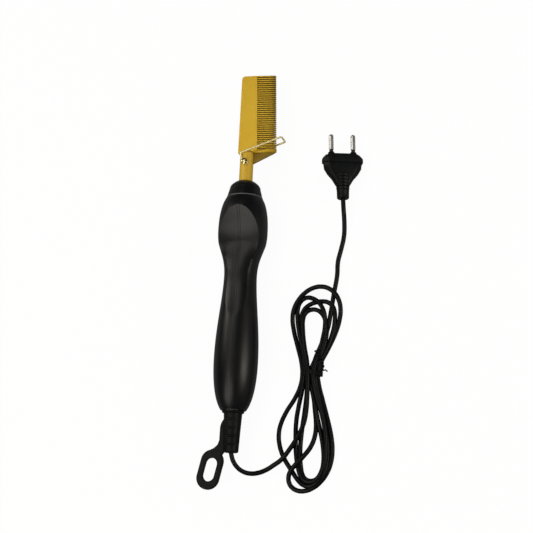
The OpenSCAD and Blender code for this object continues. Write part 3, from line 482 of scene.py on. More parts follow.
def sweep(path, radius, sides):
    """A closed round tube along a path."""
    path = [Vector(p) for p in path]
    heading = (path[1] - path[0]).normalized()
    start = Matrix.Translation(path[0]) @ heading.to_track_quat("Z", "Y").to_matrix().to_4x4()
    bm = bmesh.new()
    bmesh.ops.create_circle(bm, cap_ends=True, radius=radius, segments=sides, matrix=start)
    face = list(bm.faces)[0]
    for i in range(1, len(path)):
        grown = bmesh.ops.extrude_face_region(bm, geom=[face])["geom"]
        face = of_kind(grown, bmesh.types.BMFace)[0]
        onward = (path[min(i + 1, len(path) - 1)] - path[i - 1]).normalized()
        turn = heading.rotation_difference(onward).to_matrix().to_4x4()
        move = Matrix.Translation(path[i]) @ turn @ Matrix.Translation(-path[i - 1])
        bmesh.ops.transform(bm, matrix=move, verts=list(face.verts))
        heading = onward
    bmesh.ops.recalc_face_normals(bm, faces=bm.faces)
    return bm


def lofted(rings):
    """A closed form through rings of the same number of corners."""
    bm = bmesh.new()
    loops = [ring(bm, points) for points in rings]
    for near, far in zip(loops, loops[1:]):
        bmesh.ops.bridge_loops(bm, edges=near + far)
    bmesh.ops.edgenet_fill(bm, edges=loops[0])
    bmesh.ops.edgenet_fill(bm, edges=loops[-1])
    bmesh.ops.recalc_face_normals(bm, faces=bm.faces)
    return bm


def joined(*parts):
    """All the given shapes as one, each closed in itself."""
    whole = bmesh.new()
    carrier = bpy.data.meshes.new("carrier")
    for part in parts:
        part.to_mesh(carrier)
        whole.from_mesh(carrier)
        part.free()
    bpy.data.meshes.remove(carrier)
    return whole


def moved(bm, matrix):
    bmesh.ops.transform(bm, matrix=matrix, verts=bm.verts)
    return bm


def as_object(bm, name):
    mesh = bpy.data.meshes.new(name)
    bm.to_mesh(mesh)
    bm.free()
    made = bpy.data.objects.new(name, mesh)
    bpy.context.scene.collection.objects.link(made)
    return made


def with_modifiers(bm, *steps):
    """The shape after the given modifiers, each as (kind, settings)."""
    made = as_object(bm, "work")
    for kind, settings in steps:
        modifier = made.modifiers.new(kind, kind)
        for key, value in settings.items():
            setattr(modifier, key, value)
    shown = made.evaluated_get(bpy.context.evaluated_depsgraph_get())
    result = bmesh.new()
    result.from_mesh(shown.to_mesh())
    shown.to_mesh_clear()
    bpy.data.objects.remove(made)
    return result


def cut(base, tool, operation="DIFFERENCE"):
    """One shape less another, or what they have together or in common."""
    cutter = as_object(tool, "cutter")
    settings = {"operation": operation, "object": cutter, "solver": "EXACT"}
    result = with_modifiers(base, ("BOOLEAN", settings))
    bpy.data.objects.remove(cutter)
    return result


def settle(bm, name, finish, body, nodes, place=TOOL, crease=32):
    """Sets a finished shape down in the frame as a piece that rides on a body, and shades it smooth."""
    bmesh.ops.transform(bm, matrix=place_in_metres(place), verts=bm.verts)
    limit = math.radians(crease)
    for edge in bm.edges:
        edge.smooth = len(edge.link_faces) == 2 and edge.calc_face_angle(0) < limit
    for face in bm.faces:
        face.smooth = True
    made = as_object(bm, name)
    made.data.materials.append(finish)
    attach(made, body)
    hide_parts(*nodes)
    return made


def place_in_metres(place):
    """A placement whose moves are in millimetres, turned into one that also scales to metres."""
    return Matrix.Diagonal((MM, MM, MM, 1)) @ place


# ---------------------------------------------------------------- what a user may change


def size(name, description, default, low, high):
    """A length that is given here in millimetres and kept in metres."""
    limits = {"default": default * MM, "min": low * MM, "max": high * MM, "precision": 5}
    return FloatProperty(name=name, description=description, subtype="DISTANCE", unit="LENGTH", **limits)


def colour(name, description, default):
    """A plain linear colour."""
    limits = {"default": default, "size": 3, "min": 0, "max": 1}
    return FloatVectorProperty(name=name, description=description, subtype="COLOR", **limits)


class HotCombSizes(bpy.types.PropertyGroup):
    """Sizes of the comb that can be changed in the sidebar."""

    teeth: IntProperty(name="Teeth", description="Number of teeth in the head", default=35, min=4, max=60)
    tooth_width: size("Tooth width", "Width of one tooth", 1.2, 0.4, 1.8)
    tooth_length: size("Tooth length", "Length of a tooth from its root", 16.6, 5, 25)
    spine: size("Spine", "Thickness of the head's spine", 5.2, 3, 8)
    neck_bore: size("Neck bore", "Radius of the hole in the neck tube", 4.3, 2, 5)
    stand_wire: size("Stand wire", "Diameter of the stand's wire", 1.6, 1, 3)
    bulb: size("Bulb", "Radius of the handle at its bulb", 21.3, 18, 22)
    corner: size("Scoop corner", "Radius of the handle at the rear corner of the bulb", 19.9, 17, 21)
    waist: size("Waist", "Radius of the handle at its waist", 14.0, 12, 16)
    swell: size("Swell", "Radius of the handle at its rear swell", 18.7, 15, 20)
    rear: size("Rear", "Radius of the handle at its rear end", 10.8, 10, 13)
    shell: size("Shell", "Wall of the two handle shells", 1.8, 1, 2.2)
    seam: size("Seam", "Distance of the two seam lines from the middle of the handle", 1.05, 0.5, 2)
    seam_depth: size("Seam depth", "Depth of the seam lines", 0.14, 0, 0.6)
    lead: size("Lead", "Diameter of the mains lead", 4.0, 3, 6)
    slot_width: size("Slot width", "Width of the slots in the strain relief", 1.5, 0.6, 2.5)
    tie_width: size("Tie width", "Width of the tie round the hank", 4.0, 2, 6)
    plug_width: size("Plug width", "Width of the plug's flange", 35.3, 30, 36)
    plug_thickness: size("Plug thickness", "Thickness of the plug's flange", 13.7, 12, 15)
    pin: size("Pin", "Diameter of the plug's pins", 4.0, 3.6, 4.8)


class HotCombColours(bpy.types.PropertyGroup):
    """Colours of the comb that can be changed in the sidebar."""

    gold: colour("Gold", "The head and the neck where they are bright", (0.74, 0.485, 0.045))
    gold_dark: colour("Dark gold", "The head and the neck where they are dull", (0.645, 0.40, 0.028))
    # Painted shade: the sides of the teeth, a darker gold where shade falls between them.
    gap: colour("Gaps", "The sides of the teeth, where the plating is thin", (0.47, 0.28, 0.04))
    # Painted shade: the gusset web, darker because it lies in shade under the head's end bar.
    gusset: colour("Gusset", "The gusset, whose cast skin is duller than the rest", (0.275, 0.18, 0.024))
    bright: colour("Bright wire", "The stand and its screws", (0.97, 0.86, 0.47))
    bright_dark: colour("Dull wire", "Drawing lines on the stand and its screws", (0.88, 0.73, 0.34))
    black: colour("Black", "The handle and the nose cap", (0.0018, 0.0024, 0.0030))
    black_light: colour("Worn black", "The handle and the cap where held", (0.0046, 0.0050, 0.0052))
    ring: colour("Ring", "The thin ring behind the nose cap", (0.075, 0.083, 0.083))
    ring_light: colour("Worn ring", "The thin ring where it is rubbed", (0.10, 0.11, 0.11))
    jacket: colour("Jacket", "The mains lead", (0.0018, 0.0026, 0.0031))
    jacket_light: colour("Worn jacket", "The mains lead's duller patches", (0.0038, 0.0048, 0.0053))
    rubber: colour("Rubber", "The strain relief and the plug", (0.0020, 0.0028, 0.0033))
    rubber_light: colour("Rubber bloom", "Grey bloom on the relief and plug", (0.0050, 0.0064, 0.0070))
    tie: colour("Tie", "The tie round the hank", (0.0018, 0.0022, 0.0026))
    tie_light: colour("Worn tie", "The tie round the hank where it is rubbed", (0.0042, 0.0048, 0.0052))
    floor: colour("Floor", "The table under the comb", (0.97, 0.97, 0.97))


def mm_of(name):
    """A size from the sidebar, in millimetres."""
    return getattr(bpy.context.scene.hot_comb_sizes, name) / MM


def colour_of(name):
    return tuple(getattr(bpy.context.scene.hot_comb_colours, name))


def pair_of(dark, light):
    """Two colours from the sidebar, for a finish that goes from one to the other."""
    return colour_of(dark), colour_of(light)


# ---------------------------------------------------------------- stage

CAMERA_AT = (324.06, -314.4, 1144.4)  # from the tool's foot on the table
CAMERA_FROM = (0.2513, -0.2385, 0.9380)
CAMERA_ROLL = math.radians(2.87)
PHOTO_HALF = 266.5  # half the picture's width, in pixels
PHOTO_FOCUS = 1411.8  # the camera's focal length, in pixels
ROOM_LIGHT = 0.5
ROOM_MIRRORED = 0.03
TABLE_SEEN = 0.95  # the rest is the table's own white, with the shadows
TABLE_GLOW_MIRRORED = 0.1
TABLE_GREY_MIRRORED = (0.12, 0.12, 0.12)
TABLE_DROP = 0.0004  # metres from z = 0 down to the table

# The lamps: name, direction, distance, width and length in metres, radiance and tint. The key shows
# in the thumb scoop, the top one in the head's spine, and the other two as streaks on the grip.
LAMPS = (
    ("key", (-0.42, -0.52, 1.12), 1.34, 0.8, 1.0, 1.75, (1.0, 0.94, 0.86)),
    ("top", (-0.30, 0.54, 1.2), 1.38, 0.8, 0.4, 1.35, (1.0, 0.96, 0.90)),
    ("left", (-0.86, 0.44, 0.60), 1.3, 0.24, 0.6, 3.4, (1.0, 0.93, 0.83)),
    ("right", (0.88, 0.02, 0.50), 1.3, 0.22, 0.7, 5.6, (1.0, 0.93, 0.82)),
)


def camera_turn():
    """Axes of the camera: right, up and backwards."""
    back = Vector(CAMERA_FROM).normalized()
    right = Vector((0, 1, 0)).cross(back).normalized()
    up = back.cross(right)
    turn = Matrix((right, up, back)).transposed()
    return turn @ Matrix.Rotation(CAMERA_ROLL, 3, "Z")


def pale_floor():
    """Pale table: plain white to the camera, with the object's faint shadow left in."""
    f = Finish("pale_table")
    seen, glossy, through = f.rays()
    white_share = seen * TABLE_SEEN + glossy * TABLE_GLOW_MIRRORED + through
    shade = f.tint(glossy, colour_of("floor"), TABLE_GREY_MIRRORED)
    table = f.node("ShaderNodeBsdfDiffuse", {}, {"Color": shade})
    white = f.node("ShaderNodeEmission", {}, {"Color": (1, 1, 1, 1), "Strength": 1.0})
    mixed = f.node("ShaderNodeMixShader", {}, {0: white_share, 1: table, 2: white})
    f.node("ShaderNodeOutputMaterial", {}, {"Surface": mixed})
    return f.material


class Room(Finish):
    """The world's nodes, made in the same way as a material's."""

    def __init__(self, world):
        world.use_nodes = True
        self.tree = world.node_tree
        self.tree.nodes.clear()


class HOTCOMB_OT_stage(bpy.types.Operator):
    """Sets the camera, the pale table, the soft lamps and the pale room"""

    bl_idname = "hotcomb.stage"
    bl_label = "Stage"

    def lamp(self, name, towards, distance, wide, long, radiance, tint):
        """A soft oblong lamp that looks at the middle of the frame from a direction."""
        towards = Vector(towards).normalized()
        data = bpy.data.lights.new(name, "AREA")
        data.shape = "RECTANGLE"
        data.size = wide
        data.size_y = long
        data.energy = 4 * radiance * wide * long
        data.color = tint
        made = bpy.data.objects.new(name, data)
        turn = towards.to_track_quat("Z", "Y").to_matrix().to_4x4()
        made.matrix_world = Matrix.Translation(towards * distance) @ turn
        bpy.context.scene.collection.objects.link(made)

    def execute(self, context):
        data = bpy.data.cameras.new("camera")
        data.sensor_fit = "HORIZONTAL"
        data.angle = 2 * math.atan(PHOTO_HALF / PHOTO_FOCUS)
        data.clip_end = 20
        camera = bpy.data.objects.new("camera", data)
        at = (Vector(CAMERA_AT) + Vector((TOOL_X, TOOL_Y, 0))) * MM
        camera.matrix_world = Matrix.Translation(at) @ camera_turn().to_4x4()
        context.scene.collection.objects.link(camera)
        context.scene.camera = camera

        table = bmesh.new()
        bmesh.ops.create_grid(table, x_segments=2, y_segments=2, size=4)
        bmesh.ops.translate(table, verts=table.verts, vec=(0, 0, -TABLE_DROP))
        floor = as_object(table, "table")
        floor.data.materials.append(pale_floor())

        world = bpy.data.worlds.new("room")
        context.scene.world = world
        room = Room(world)
        seen, glossy, through = room.rays()
        level = (seen + through) * (1 - ROOM_LIGHT) - glossy * (ROOM_LIGHT - ROOM_MIRRORED) + ROOM_LIGHT
        light = room.node("ShaderNodeBackground", {}, {"Color": (1, 1, 1, 1), "Strength": level})
        room.node("ShaderNodeOutputWorld", {}, {"Surface": light})

        for settings in LAMPS:
            self.lamp(*settings)

        context.scene.view_settings.view_transform = "Standard"
        return {"FINISHED"}


# ---------------------------------------------------------------- plug, tie and mains lead

# The plug lies along y from where the lead enters it, turned on the table and tipped on its edge
PLUG_TURN = Matrix.Rotation(math.radians(3), 4, "Z") @ Matrix.Rotation(math.radians(20), 4, "Y")
PLUG = TABLE @ Matrix.Translation(CORD_ROUTE[-1]) @ PLUG_TURN
PLUG_LENGTH = 39
PLUG_CHAMFER = 4.6 / 17.65  # share of the half width that a sloping side takes up
PLUG_EAR = 2.25  # half the height of the plug's upright sides
# The plug's grip, by stations of (y, half width, half height)
PLUG_TAPER = ((12, 6.2, 4.9), (17.2, 9.3, 5.3), (22, 13.4, 5.65), (26.5, 16.0, 5.95))
PLUG_FLANGE = 31.4  # y where the flange starts
GROOVE_ROWS = (7.4, 10.2, 13, 15.8, 18.6)  # y of the cord end's grooves
GROOVE_FLOOR = 4.75
PIN_PITCH = 19
PIN_ROOT = 27.8
PIN_SHOULDER = 44.1  # y where a pin leaves its sleeve
PIN_TIP = 58
PIN_PLACES = [Matrix.Translation((side * PIN_PITCH / 2, 0, 0)) for side in (-1, 1)]


def six_sided(half, high, y):
    """Corners of the plug's section at a place along it."""
    ear = min(PLUG_EAR, high - 1)
    flat = half - PLUG_CHAMFER * half
    quarter = [(half, ear), (flat, high)]
    top = quarter + [(-x, z) for x, z in reversed(quarter)]
    return [(x, y, z) for x, z in top + [(-x, -z) for x, z in top]]


class HOTCOMB_OT_plug(bpy.types.Operator):
    """Makes the flat two-pin plug with its flexible cord end, its pins and their sleeves"""

    bl_idname = "hotcomb.plug"
    bl_label = "Plug"

    def eased(self, stations, width):
        """A six-sided form through stations of (y, half width, half height)."""
        form = lofted([six_sided(half, high, y) for y, half, high in stations])
        return softened(form, sharp_edges(form), width, 3)

    def body(self):
        half = mm_of("plug_width") / 2
        high = mm_of("plug_thickness") / 2
        grip = self.eased([*PLUG_TAPER, (PLUG_FLANGE + 1, half - 1.0, high - 0.7)], 0.9)
        shoulder = [(PLUG_FLANGE, half, high), (PLUG_LENGTH - 3.4, half, high)]
        flange = self.eased([*shoulder, (PLUG_LENGTH, half - 3.2, high)], 0.7)
        cone = [(0, 0), (4.6, 0), (5.2, 0.6), (5.3, 6.4)]
        for y in GROOVE_ROWS:
            reach = 5.3 + 1.6 * (y - 5.9) / 14
            cone += [(reach, y - 0.6), (GROOVE_FLOOR, y - 0.45), (GROOVE_FLOOR, y + 0.45), (reach, y + 0.6)]
        cord_end = lathe(cone + [(7.0, 20.8), (6.7, 21.4), (0, 21.4)], 48)
        boss = [(0, 38), (3.6, 38), (3.5, 38.9), (2.7, 41.5), (2.3, 41.95), (0, 41.95)]
        bosses = [moved(lathe(boss, 40), place) for place in PIN_PLACES]
        return joined(grip, flange, cord_end, *bosses)

    def execute(self, context):
        black = rubber("plug_moulding", *pair_of("rubber", "rubber_light"), (0.36, 0.46), 0.22)
        settle(self.body(), "plug_moulding", black, "cord_set", ["plug_body"], PLUG)
        steel = plain_metal("pin_metal", (0.97, 0.97, 0.97), (0.86, 0.86, 0.86), 0.3)
        dark = pale_plastic("sleeve_black", (0.012, 0.012, 0.012), (0.02, 0.02, 0.02))
        radius = mm_of("pin") / 2
        turn = [i * math.pi / 16 for i in range(8)]
        pin = [(0, PIN_ROOT), (1.15, PIN_ROOT), (1.15, PIN_SHOULDER), (radius - 0.15, PIN_SHOULDER)]
        pin.append((radius, PIN_SHOULDER + 0.15))
        pin += [(radius * math.cos(a), PIN_TIP - 2 + radius * math.sin(a)) for a in turn]
        pin.append((0, PIN_TIP))
        sleeve = [(1.3, 34.1), (1.65, 34.1), (1.7, 34.2), (1.7, 43.8), (1.6, 43.95), (1.3, 43.95)]
        pins = [moved(lathe(pin, 32), place) for place in PIN_PLACES]
        sleeves = [moved(lathe(sleeve, 32, closed=True), place) for place in PIN_PLACES]
        settle(joined(*pins), "pins", steel, "cord_set", ["plug_pins"], PLUG)
        settle(joined(*sleeves), "pin_collars", dark, "cord_set", ["pin_sleeves"], PLUG)
        return {"FINISHED"}


TIE = TABLE @ Matrix.Translation((62.6, -117.5, 0)) @ Matrix.Rotation(math.radians(-1), 4, "Z")
# Where the strands pass through the tie, in rows of four, three and two, as (x, z)
TIE_SLOTS = [(x, 2.7) for x in (-6.3, -2.1, 2.1, 6.3)] + [(x, 6.3) for x in (-4.2, 0, 4.2)]
TIE_SLOTS += [(x, 9.9) for x in (-2.1, 2.1)]
# Middle line of the two twisted ends, and of the spike beside them
TIE_TWIST = [(8.8, 1.5, 9.6), (10.4, 4.6, 11.4), (9.6, 9.2, 12.4), (7.2, 14.2, 12.2), (4.6, 18.6, 11.2)]
TIE_SPIKE = [(8.9, 1.2, 9.4), (10.6, 2.0, 9.6), (12.6, 2.6, 8.6), (13.8, 1.4, 7.6)]
TIE_WIRE = 0.85  # its radius, and half the distance between its two twisted ends
TIE_COAT = 0.55  # thickness of the band
TWIST_STEPS = 48
TWIST_TURNS = 3.5


class HOTCOMB_OT_tie(bpy.types.Operator):
    """Makes the coated wire tie that holds the hank, with its twisted ends"""

    bl_idname = "hotcomb.tie"
    bl_label = "Tie"

    def strap(self):
        """The band, drawn tight round the strands."""
        reach = mm_of("lead") / 2 + 0.15
        turn = [i * math.pi / 16 for i in range(32)]
        around = [(reach * math.cos(a), reach * math.sin(a)) for a in turn]
        spots = [Vector((x + dx, z + dz)) for x, z in TIE_SLOTS for dx, dz in around]
        half = mm_of("tie_width") / 2
        bm = bmesh.new()
        edges = ring(bm, [(spots[i].x, -half, spots[i].y) for i in convex_hull_2d(spots)])
        for step in (0.3, half - 0.3, half - 0.3, 0.3):
            grown = bmesh.ops.extrude_edge_only(bm, edges=edges)["geom"]
            edges = of_kind(grown, bmesh.types.BMEdge)
            bmesh.ops.translate(bm, verts=of_kind(grown, bmesh.types.BMVert), vec=(0, step, 0))
        bmesh.ops.recalc_face_normals(bm, faces=bm.faces)
        bmesh.ops.solidify(bm, geom=list(bm.faces), thickness=-TIE_COAT)
        bmesh.ops.recalc_face_normals(bm, faces=bm.faces)
        return bm

    def twist(self):
        """The two ends, twisted round each other over the hank and then spread, and a bent spike."""
        spine = [Vector(p) for p in TIE_TWIST]
        ends = []
        for start in (0, math.pi):
            path = []
            for i in range(TWIST_STEPS + 1):
                t = i / TWIST_STEPS * (len(spine) - 1)
                k = min(int(t), len(spine) - 2)
                at = spine[k].lerp(spine[k + 1], t - k)
                along = (spine[k + 1] - spine[k]).normalized()
                side = along.cross(Vector((0, 0, 1))).normalized()
                up = side.cross(along)
                a = start + i / TWIST_STEPS * TWIST_TURNS * 2 * math.pi
                spread = TIE_WIRE + max(0, i - TWIST_STEPS + 6) * 0.12
                path.append(at + side * spread * math.cos(a) + up * spread * math.sin(a))
            ends.append(sweep(path, TIE_WIRE, 12))
        return [*ends, sweep(TIE_SPIKE, 0.6, 10)]

    def execute(self, context):
        black = rubber("tie_coating", *pair_of("tie", "tie_light"), gloss=0.16)
        settle(joined(self.strap(), *self.twist()), "tie_band", black, "cord_set", ["hank_tie"], TIE)
        return {"FINISHED"}


class HOTCOMB_OT_mains_lead(bpy.types.Operator):
    """Lays the mains lead from the strain relief through the tied hank to the plug"""

    bl_idname = "hotcomb.mains_lead"
    bl_label = "Mains lead"

    def execute(self, context):
        line = bpy.data.curves.new("mains_lead", "CURVE")
        line.dimensions = "3D"
        line.resolution_u = 5
        line.bevel_depth = mm_of("lead") / 2 * MM
        line.bevel_resolution = 3
        line.use_fill_caps = True
        spline = line.splines.new("BEZIER")
        spline.bezier_points.add(len(CORD_ROUTE) - 1)
        places = [place_in_metres(TABLE) @ Vector(p) for p in CORD_ROUTE]
        for point, place in zip(spline.bezier_points, places):
            point.co = place
            point.handle_left_type = "AUTO"
            point.handle_right_type = "AUTO"
        lead = bpy.data.objects.new("mains_lead", line)
        context.scene.collection.objects.link(lead)
        line.materials.append(cord_jacket("lead_jacket", *pair_of("jacket", "jacket_light")))
        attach(lead, "cord_set")
        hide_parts("cord_lead", "cord_hank", "plug_lead")
        mm_of("lead") * MM
        return {"FINISHED"}


# ---------------------------------------------------------------- comb head and neck

TOOTH_PITCH = 1.9257
END_BAR = 3.6  # width of the solid bar before the teeth
ROOT_X = 9.5  # where the teeth start, at the neck's end of the head
ROW_SLANT = math.tan(math.radians(2.9))
TOOTH_BASE_X = 5.9  # where the head starts to thin, if its teeth ran on into the spine
TOOTH_TIP_X = 26.6
TOOTH_TIP = 2.2  # thickness of a tooth at its tip
TIP_CORNER = 3.0  # radius of the spine's far corner
GUSSET_HALF = 0.9
PIVOT_Y = 64  # the stand's pivots, along the neck
EYE_Z = 7.0  # height of the stand's eyes from the axis


def root_x(y):
    """Where the teeth start, across the head."""
    return ROOT_X - (y - HEAD_START) * ROW_SLANT


class HOTCOMB_OT_comb_head(bpy.types.Operator):
    """Makes the toothed head, with its round-backed spine, its end bar and the gusset to the neck"""

    bl_idname = "hotcomb.comb_head"
    bl_label = "Comb head"

    def half_thickness(self, x):
        share = (x - TOOTH_BASE_X) / (TOOTH_TIP_X - TOOTH_BASE_X)
        return mm_of("spine") / 2 + (TOOTH_TIP / 2 - mm_of("spine") / 2) * max(0, share)

    def wedge(self, low_y, high_y, edge, *stations):
        """A wedge across the head, slimmer by some amount at each of its stations of (x, amount)."""
        rings = []
        for x, slim in stations:
            h = self.half_thickness(x) - slim
            low = low_y + slim
            high = high_y - slim
            rings.append([(x, low, -h), (x, high, -h), (x, high, h), (x, low, h)])
        bm = lofted(rings)
        return softened(bm, sharp_edges(bm, math.radians(40)), edge)

    def tooth(self, low_y):
        start = root_x(low_y) - 1.2
        stop = root_x(low_y) + mm_of("tooth_length")
        high_y = low_y + mm_of("tooth_width")
        return self.wedge(low_y, high_y, 0.16, (start, 0), (stop - 4, 0), (stop, 0.12))

    def bar(self):
        """The solid bar beside the teeth."""
        start = root_x(HEAD_START)
        stop = start + mm_of("tooth_length")
        return self.wedge(HEAD_START + 0.02, HEAD_START + END_BAR, 0.3, (start - 3, 0), (stop, 0))

    def spine(self):
        """The head's flat back, with its two long edges rounded into one."""
        half = mm_of("spine") / 2
        x = HEAD_BACK + TIP_CORNER
        y = HEAD_END - TIP_CORNER
        turn = [math.pi - i * math.pi / 16 for i in range(9)]
        outline = [(HEAD_BACK, HEAD_START)]
        outline += [(x + TIP_CORNER * math.cos(a), y + TIP_CORNER * math.sin(a)) for a in turn]
        outline += [(root_x(HEAD_END), HEAD_END), (root_x(HEAD_START), HEAD_START)]
        bm = plate(outline, -half, half, 0)
        back = [e for e in sharp_edges(bm) if max(v.co.x for v in e.verts) < HEAD_BACK + 0.01]
        return softened(bm, [e for e in back if e.calc_length() > 9], half - 0.15, 8)

    def neck_end(self):
        """The turned end of the head, which sits on the neck and runs out into the spine."""
        half = mm_of("spine") / 2
        outline = [(0, -0.1), (NECK_R - 0.2, 0), (NECK_R, 0.2), (NECK_R, 0.8)]
        outline += [(4.3, 1.8), (half + 0.2, 3.0), (0, 3.3)]
        return lathe([(r, HEAD_START + y) for r, y in outline], 64)

    def gusset(self):
        """The thin web between the neck and the head's corner."""
        tip_x = root_x(HEAD_START) + mm_of("tooth_length")
        side = NECK_R + 0.05
        outline = [(side, HEAD_START + 0.5), (side, PIVOT_Y - 0.4), (tip_x - 1.6, HEAD_START - 0.8)]
        return plate(outline + [(tip_x - 0.6, HEAD_START + 0.5)], -GUSSET_HALF, GUSSET_HALF, 0.25)

    def execute(self, context):
        parts = [self.spine(), self.bar()]
        for i in range(1, context.scene.hot_comb_sizes.teeth + 1):
            parts.append(self.tooth(HEAD_START + END_BAR + i * TOOTH_PITCH - mm_of("tooth_width")))
        parts += [self.neck_end(), self.gusset()]
        gold = gold_plating("gold_head", *pair_of("gold", "gold_dark"), metal=0.75)
        head = settle(joined(*parts), "toothed_head", gold, "tool", ["comb_head"])
        # The sides of the teeth get a painted shade, a darker gold for the shade that falls between the
        # teeth.
        head.data.materials.append(gold_plating("gold_gaps", *pair_of("gap", "gap"), BLASTED))
        # The gusset's colour is painted shade: the web lies in shade under the head's end bar.
        shaded_gusset_finish = gold_plating("gold_gusset", *pair_of("gusset", "gusset"), rough=0.44, metal=0.8)
        head.data.materials.append(shaded_gusset_finish)
        roots = (TOOL_X + root_x(HEAD_END)) * MM
        bar = (TOOL_Y + HEAD_START + END_BAR + 0.2) * MM
        start = (TOOL_Y + HEAD_START) * MM
        side = (TOOL_X + NECK_R) * MM
        # Faces on the sides of the teeth take the painted shade of the gaps.
        for face in head.data.polygons:
            if abs(face.normal.y) > 0.8 and face.center.x > roots and face.center.y > bar:
                face.material_index = 1
            # Faces of the gusset take its painted shade.
            elif face.center.y < start and face.center.x > side:
                face.material_index = 2
        return {"FINISHED"}


SCREW_R = 2.8
SCREW_FOOT = 4.8  # where the screw's shank ends in the neck's wall
PIVOT = TOOL @ Matrix.Translation((0, PIVOT_Y, 0))


class HOTCOMB_OT_neck(bpy.types.Operator):
    """Makes the neck tube and the two pivot screws of the stand"""

    bl_idname = "hotcomb.neck"
    bl_label = "Neck and pivot screws"

    def screw(self):
        """A small domed screw, its head outwards along z, with a crossed recess."""
        low = EYE_Z + 0.9
        shoulder = (SCREW_R, EYE_Z + 1.55)
        outline = [(0, SCREW_FOOT), (1.2, SCREW_FOOT), (1.2, low)]
        outline += [(SCREW_R - 0.2, low), (SCREW_R, low + 0.2), shoulder]
        outline += cubic(shoulder, (2.7, EYE_Z + 2.1), (1.9, EYE_Z + 2.45), (0, EYE_Z + 2.5), 8)
        head = moved(lathe(outline, 40), Matrix.Rotation(math.pi / 2, 4, "X"))
        for turn in (35, 125):
            slit = block((-1.55, -0.4, EYE_Z + 1.5), (1.55, 0.4, EYE_Z + 4))
            head = cut(head, moved(slit, Matrix.Rotation(math.radians(turn), 4, "Z")))
        return head

    def execute(self, context):
        gold = gold_plating("gold_neck", *pair_of("gold", "gold_dark"), rough=0.42, metal=0.3)
        bore = mm_of("neck_bore")
        front = HEAD_START - 0.06
        outline = [(bore, NECK_BACK), (NECK_R - 0.3, NECK_BACK), (NECK_R, NECK_BACK + 0.3), (NECK_R, 40)]
        outline += [(NECK_R, 56), (NECK_R, front - 0.25), (NECK_R - 0.25, front), (bore, front)]
        settle(lathe(outline, closed=True), "neck_sleeve", gold, "tool", ["neck_tube"])
        bright = bright_plating("screw_plating", *pair_of("bright", "bright_dark"))
        pair = [self.screw(), moved(self.screw(), Matrix.Rotation(math.pi, 4, "Y"))]
        settle(joined(*pair), "pivot_screws", bright, "tool", ["stand_screws"], PIVOT)
        return {"FINISHED"}


EYE_R = 2.1
EYE_WRAP = math.radians(318)  # how far an eye goes round its screw
EYE_STEPS = 36
KNEE_REACH = 9.3  # from the pivot to the bend where a leg starts
KNEE_TURN = math.radians(117)
LEG = 38.4
LEG_TURN = math.radians(19.9)
WIRE_BEND = 1.2  # radius of the wire's bends


class HOTCOMB_OT_stand(bpy.types.Operator):
    """Bends the wire stand: an eye, a knee and a leg on each side, and the foot across"""

    bl_idname = "hotcomb.stand"
    bl_label = "Wire stand"

    def execute(self, context):
        knee = Matrix.Rotation(KNEE_TURN, 3, "Z") @ Vector((KNEE_REACH, 0, 0))
        foot = knee + Matrix.Rotation(LEG_TURN, 3, "Z") @ Vector((LEG, 0, 0))
        leave = KNEE_TURN + math.acos(EYE_R / KNEE_REACH)
        wound = [leave + EYE_WRAP * (1 - i / EYE_STEPS) for i in range(EYE_STEPS + 1)]
        loop = [Vector((EYE_R * math.cos(a), EYE_R * math.sin(a), EYE_Z)) for a in wound]
        back = [Vector((p.x, p.y, -p.z)) for p in reversed(loop)]
        up = Vector((0, 0, EYE_Z))
        middle = rounded([loop[-1], knee + up, foot + up, foot - up, knee - up, back[0]], WIRE_BEND)
        wire = sweep(loop[:-1] + middle + back[1:], mm_of("stand_wire") / 2, 20)
        bright = bright_plating("stand_plating", *pair_of("bright", "bright_dark"), 0.5)
        settle(wire, "wire_stand", bright, "stand", ["stand_wire"], PIVOT)
        return {"FINISHED"}


# ---------------------------------------------------------------- handle

SCREW_PLACES = ((12, 9), (12, -9), (-52, 0), (-90, 0))  # (y, z) of the holes in the left shell
HOLE_R = 2.6
HOLE_FLOOR = 6.02  # how far from the middle a hole ends
FRONT_R = 15.8  # the handle at its front edge
CAP_BORE = 10.06  # radius inside the cap
CAP_SKIRT = 13.25  # the part of the cap that sits in the handle's mouth
CAP_INNER = 28.25  # y where that part ends
RING_BORE = 13.36


